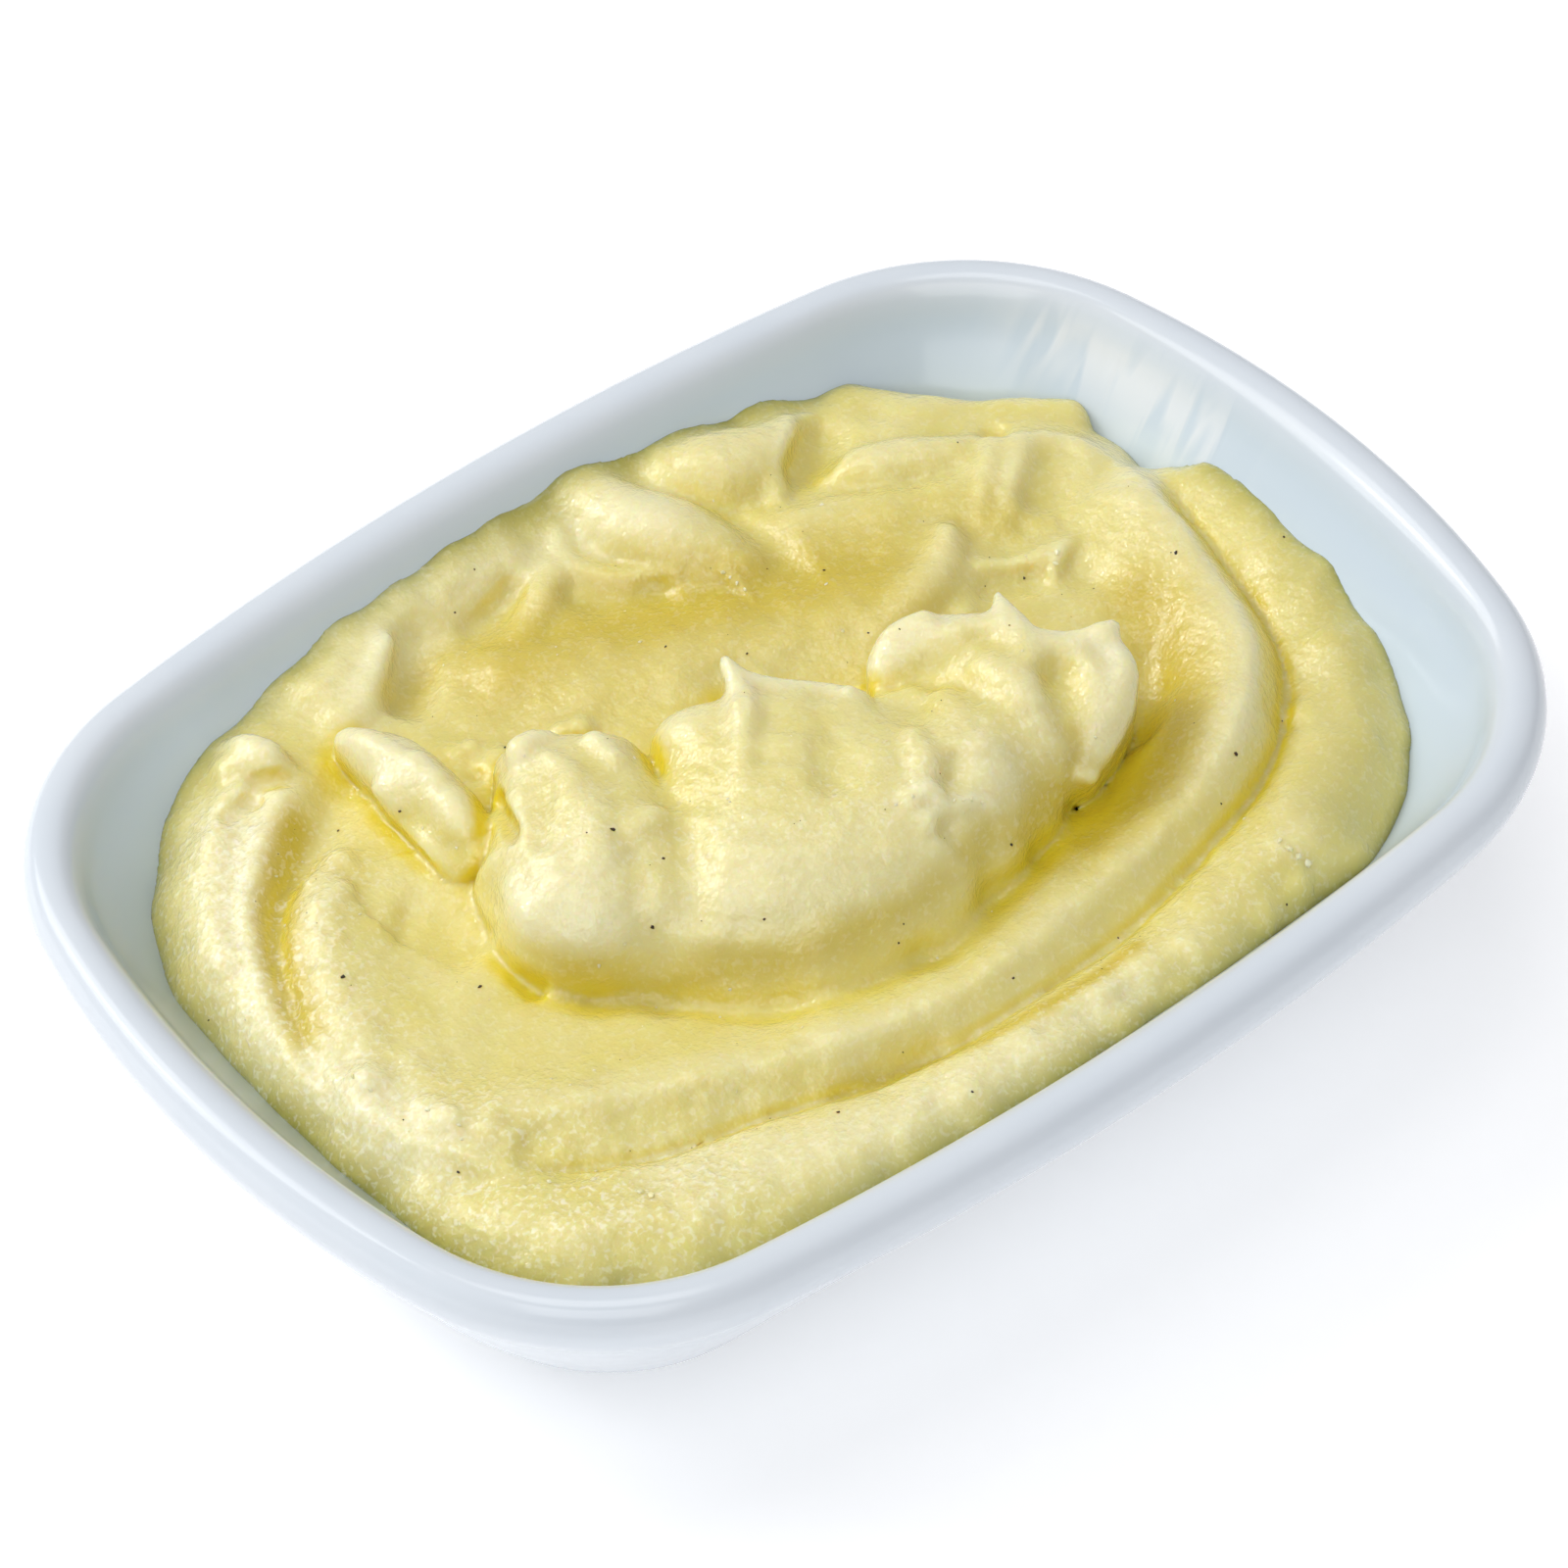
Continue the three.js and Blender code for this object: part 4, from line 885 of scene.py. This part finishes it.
def pepper_material():
    m = Nodes("ground_pepper")
    tone = m.ramp(m.noise(0.4, 2), 0.35, 0.65)
    m.link(m.mix(tone, (0.015, 0.009, 0.004), (0.07, 0.04, 0.018)), m.bsdf.inputs["Base Color"])
    m.link(m.ramp(m.noise(0.3, 2), 0.3, 0.7, 0.45, 0.7), m.bsdf.inputs["Roughness"])
    return m.mat


def lump_material():
    m = Nodes("potato_lump")
    tone = m.ramp(m.noise(1.0, 2), 0.35, 0.65)
    m.link(m.mix(tone, (0.84, 0.74, 0.36), (0.90, 0.85, 0.55)), m.bsdf.inputs["Base Color"])
    m.link(m.ramp(m.noise(0.8, 2), 0.3, 0.7, 0.25, 0.4), m.bsdf.inputs["Roughness"])
    m.bsdf.inputs["Subsurface Weight"].default_value = 0.4
    m.bsdf.inputs["Subsurface Radius"].default_value = (1.0, 0.8, 0.4)
    m.bsdf.inputs["Subsurface Scale"].default_value = 1.2 * MM
    m.link(m.bump(m.noise(0.5, 2), 0.3, 0.1), m.bsdf.inputs["Normal"])
    return m.mat


# ------------------------------------------------------------------ pieces
dish = make_dish()
dish.data.materials.append(porcelain())
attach(dish, "root"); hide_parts("dish")

mash, heap = make_mash()
mash.data.materials.append(mash_material())
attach(mash, "root"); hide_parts("mashed_potato")

tree = BVHTree.FromPolygons([v.co for v in mash.data.vertices], [tuple(p.vertices) for p in mash.data.polygons])


def surface_at(u, v):
    """Where the camera's ray through (u, v) meets the mash, and the normal there."""
    d = Vector(-BACK + (u - 800) / FOCAL * RIGHT - (v - 800) / FOCAL * UP).normalized()
    p, n, _, _ = tree.ray_cast(Vector(EYE * MM), d)
    return p, n


def surface_under(x, y):
    p, n, _, _ = tree.ray_cast(Vector((x * MM, y * MM, 0.06)), Vector((0, 0, -1)))
    return p, n


ICO = None


def flake(size, flat, seed):
    """A small broken grain: an icosphere pushed about, in mm."""
    r = np.random.default_rng(seed)
    t = (1 + 5**0.5) / 2
    v = np.array([(-1, t, 0), (1, t, 0), (-1, -t, 0), (1, -t, 0), (0, -1, t), (0, 1, t), (0, -1, -t), (0, 1, -t), (t, 0, -1), (t, 0, 1), (-t, 0, -1), (-t, 0, 1)], float)
    v /= np.linalg.norm(v[0])
    f = np.array([(0, 11, 5), (0, 5, 1), (0, 1, 7), (0, 7, 10), (0, 10, 11), (1, 5, 9), (5, 11, 4), (11, 10, 2), (10, 7, 6), (7, 1, 8), (3, 9, 4), (3, 4, 2), (3, 2, 6), (3, 6, 8), (3, 8, 9), (4, 9, 5), (2, 4, 11), (6, 2, 10), (8, 6, 7), (9, 8, 1)])
    v = v * r.uniform(0.6, 1.25, (12, 1)) * np.array([1, r.uniform(0.55, 0.9), flat]) * size / 2
    return v, f


def scatter(name, items, mat):
    """One joined mesh of small grains: items are (point, normal, size mm, flatness, sunk share)."""
    vs, fs, base = [], [], 0
    for i, (p, n, size, flat, sink) in enumerate(items):
        v, f = flake(size, flat, 900 + i)
        z = Vector(n).normalized()
        x = z.orthogonal().normalized()
        x.rotate(Matrix.Rotation(rng.uniform(0, 6.28), 3, z))
        y = z.cross(x)
        M = np.array([x, y, z])
        vs.append(v @ M + np.array(p) / MM + np.array(z) * size * flat * (0.5 - sink))
        fs.append(f + base)
        base += len(v)
    o = new_object(name, np.concatenate(vs), [np.concatenate(fs)], smooth=False)
    o.data.materials.append(mat)
    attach(o, "root")
    return o


specks = [(625, 847, .9), (350, 997, .75), (677, 876, .45), (666, 946, .6), (780, 938, .45), (1261, 770, .65), (1200, 564, .6),
          (841, 582, .5), (408, 828, .5), (213, 1041, .35), (468, 1196, .55), (992, 1114, .5), (855, 1135, .5), (1034, 998, .5),
          (515, 763, .5), (345, 848, .4), (762, 667, .4), (679, 660, .4), (918, 642, .35), (886, 646, .35), (1310, 548, .4),
          (490, 1007, .7), (1313, 923, .45), (917, 962, .4), (1032, 862, .5), (1045, 590, .4), (484, 581, .35), (464, 625, .4),
          (922, 943, .3), (1141, 957, .3), (1246, 820, .35)]
grains = []
for u, v, s in specks:
    p, n = surface_at(u, v)
    if p is not None:
        grains.append((p, n, s * 0.95, 0.55, 0.35))
for _ in range(70):
    x, y = rng.uniform(-62, 62), rng.uniform(-42, 42)
    if np.hypot(x / 66, y / 46) < 1:
        p, n = surface_under(x, y)
        if p is not None:
            grains.append((p, n, rng.uniform(0.14, 0.26), 0.6, 0.35))
scatter("pepper_specks", grains, pepper_material())

# white lumps and chips of potato, seen at these places, each laid on the mash along its own line
chips = [([(1306, 858), (1325, 874), (1343, 888)], 1.0), ([(654, 1216), (676, 1222)], 1.0), ([(606, 1203)], 0.9), ([(560, 1206)], 0.7),
         ([(974, 817), (992, 816), (1012, 821)], 0.6), ([(738, 584), (752, 595), (768, 608)], 0.6), ([(1078, 564), (1076, 586)], 0.8),
         ([(360, 1098)], 0.9), ([(378, 1112)], 0.7), ([(436, 1132)], 0.8), ([(468, 1148)], 0.7), ([(250, 1040)], 0.4), ([(1118, 752)], 0.5)]
lumps = []
for line, size in chips:
    for (u0, v0), (u1, v1) in zip(line, line[1:] or line):
        for t in (0.0, 0.5) if len(line) > 1 else (0.0,):
            p, n = surface_at(u0 + t * (u1 - u0), v0 + t * (v1 - v0))
            if p is not None:
                lumps.append((p, n, size * rng.uniform(0.9, 1.25), 0.5, 0.4))
for _ in range(150):
    x, y = rng.uniform(-66, 66), rng.uniform(-44, 44)
    if np.hypot(x / 68, y / 46) < 1 and rng.random() < 0.35 + 0.65 * (x < -20):
        p, n = surface_under(x, y)
        if p is not None:
            lumps.append((p, n, rng.uniform(0.25, 0.6), 0.4, 0.55))
scatter("potato_lumps", lumps, lump_material())

# ------------------------------------------------------------------ stage
me = bpy.data.meshes.new("floor")
me.from_pydata([(-3, -3, 0), (3, -3, 0), (3, 3, 0), (-3, 3, 0)], [], [(0, 1, 2, 3)])
floor = bpy.data.objects.new("floor", me)
bpy.context.collection.objects.link(floor)
fm = Nodes("floor_white")
fm.link(fm.mix(fm.ramp(fm.noise(3, 2), 0.3, 0.7), (0.925, 0.925, 0.93), (0.935, 0.935, 0.94)), fm.bsdf.inputs["Base Color"])
fm.bsdf.inputs["Roughness"].default_value = 0.7
fm.bsdf.inputs["Emission Color"].default_value = (1, 1, 1, 1)
fm.bsdf.inputs["Emission Strength"].default_value = 0.255
floor.data.materials.append(fm.mat)


def area(name, direction, distance, size, power, color=(1, 1, 1), spread=180):
    d = Vector(direction).normalized()
    L = bpy.data.lights.new(name, "AREA")
    L.shape = "RECTANGLE"
    L.size, L.size_y = size if isinstance(size, tuple) else (size, size)
    L.energy = power
    L.color = color
    L.spread = math.radians(spread)
    o = bpy.data.objects.new(name, L)
    bpy.context.collection.objects.link(o)
    o.location = d * distance + Vector((0, 0, 0.03))
    o.rotation_mode = "QUATERNION"
    o.rotation_quaternion = d.to_track_quat("Z", "Y")
    return o


left = Vector((-RIGHT[0], -RIGHT[1], 0)).normalized()
away = Vector((-BACK[0], -BACK[1], 0)).normalized()
area("key", left * 0.85 + away * 0.3 + Vector((0, 0, 0.82)), 1.6, 1.1, 12.0)
area("glint", left * 0.85 + away * 0.3 + Vector((0, 0, 0.82)), 1.6, 0.2, 3.0)
area("top", left * 0.05 + away * 0.12 + Vector((0, 0, 1.0)), 1.6, 0.7, 3.6)
area("front", left * 0.02 - away * 0.85 + Vector((0, 0, 0.85)), 1.8, 1.3, 9.9)
world = bpy.data.worlds.new("studio")
world.use_nodes = True
world.node_tree.nodes["Background"].inputs[0].default_value = (0.97, 0.97, 1.0, 1)
world.node_tree.nodes["Background"].inputs[1].default_value = 0.425
bpy.context.scene.world = world
bpy.context.scene.view_settings.view_transform = "Standard"
bpy.context.scene.view_settings.look = "None"
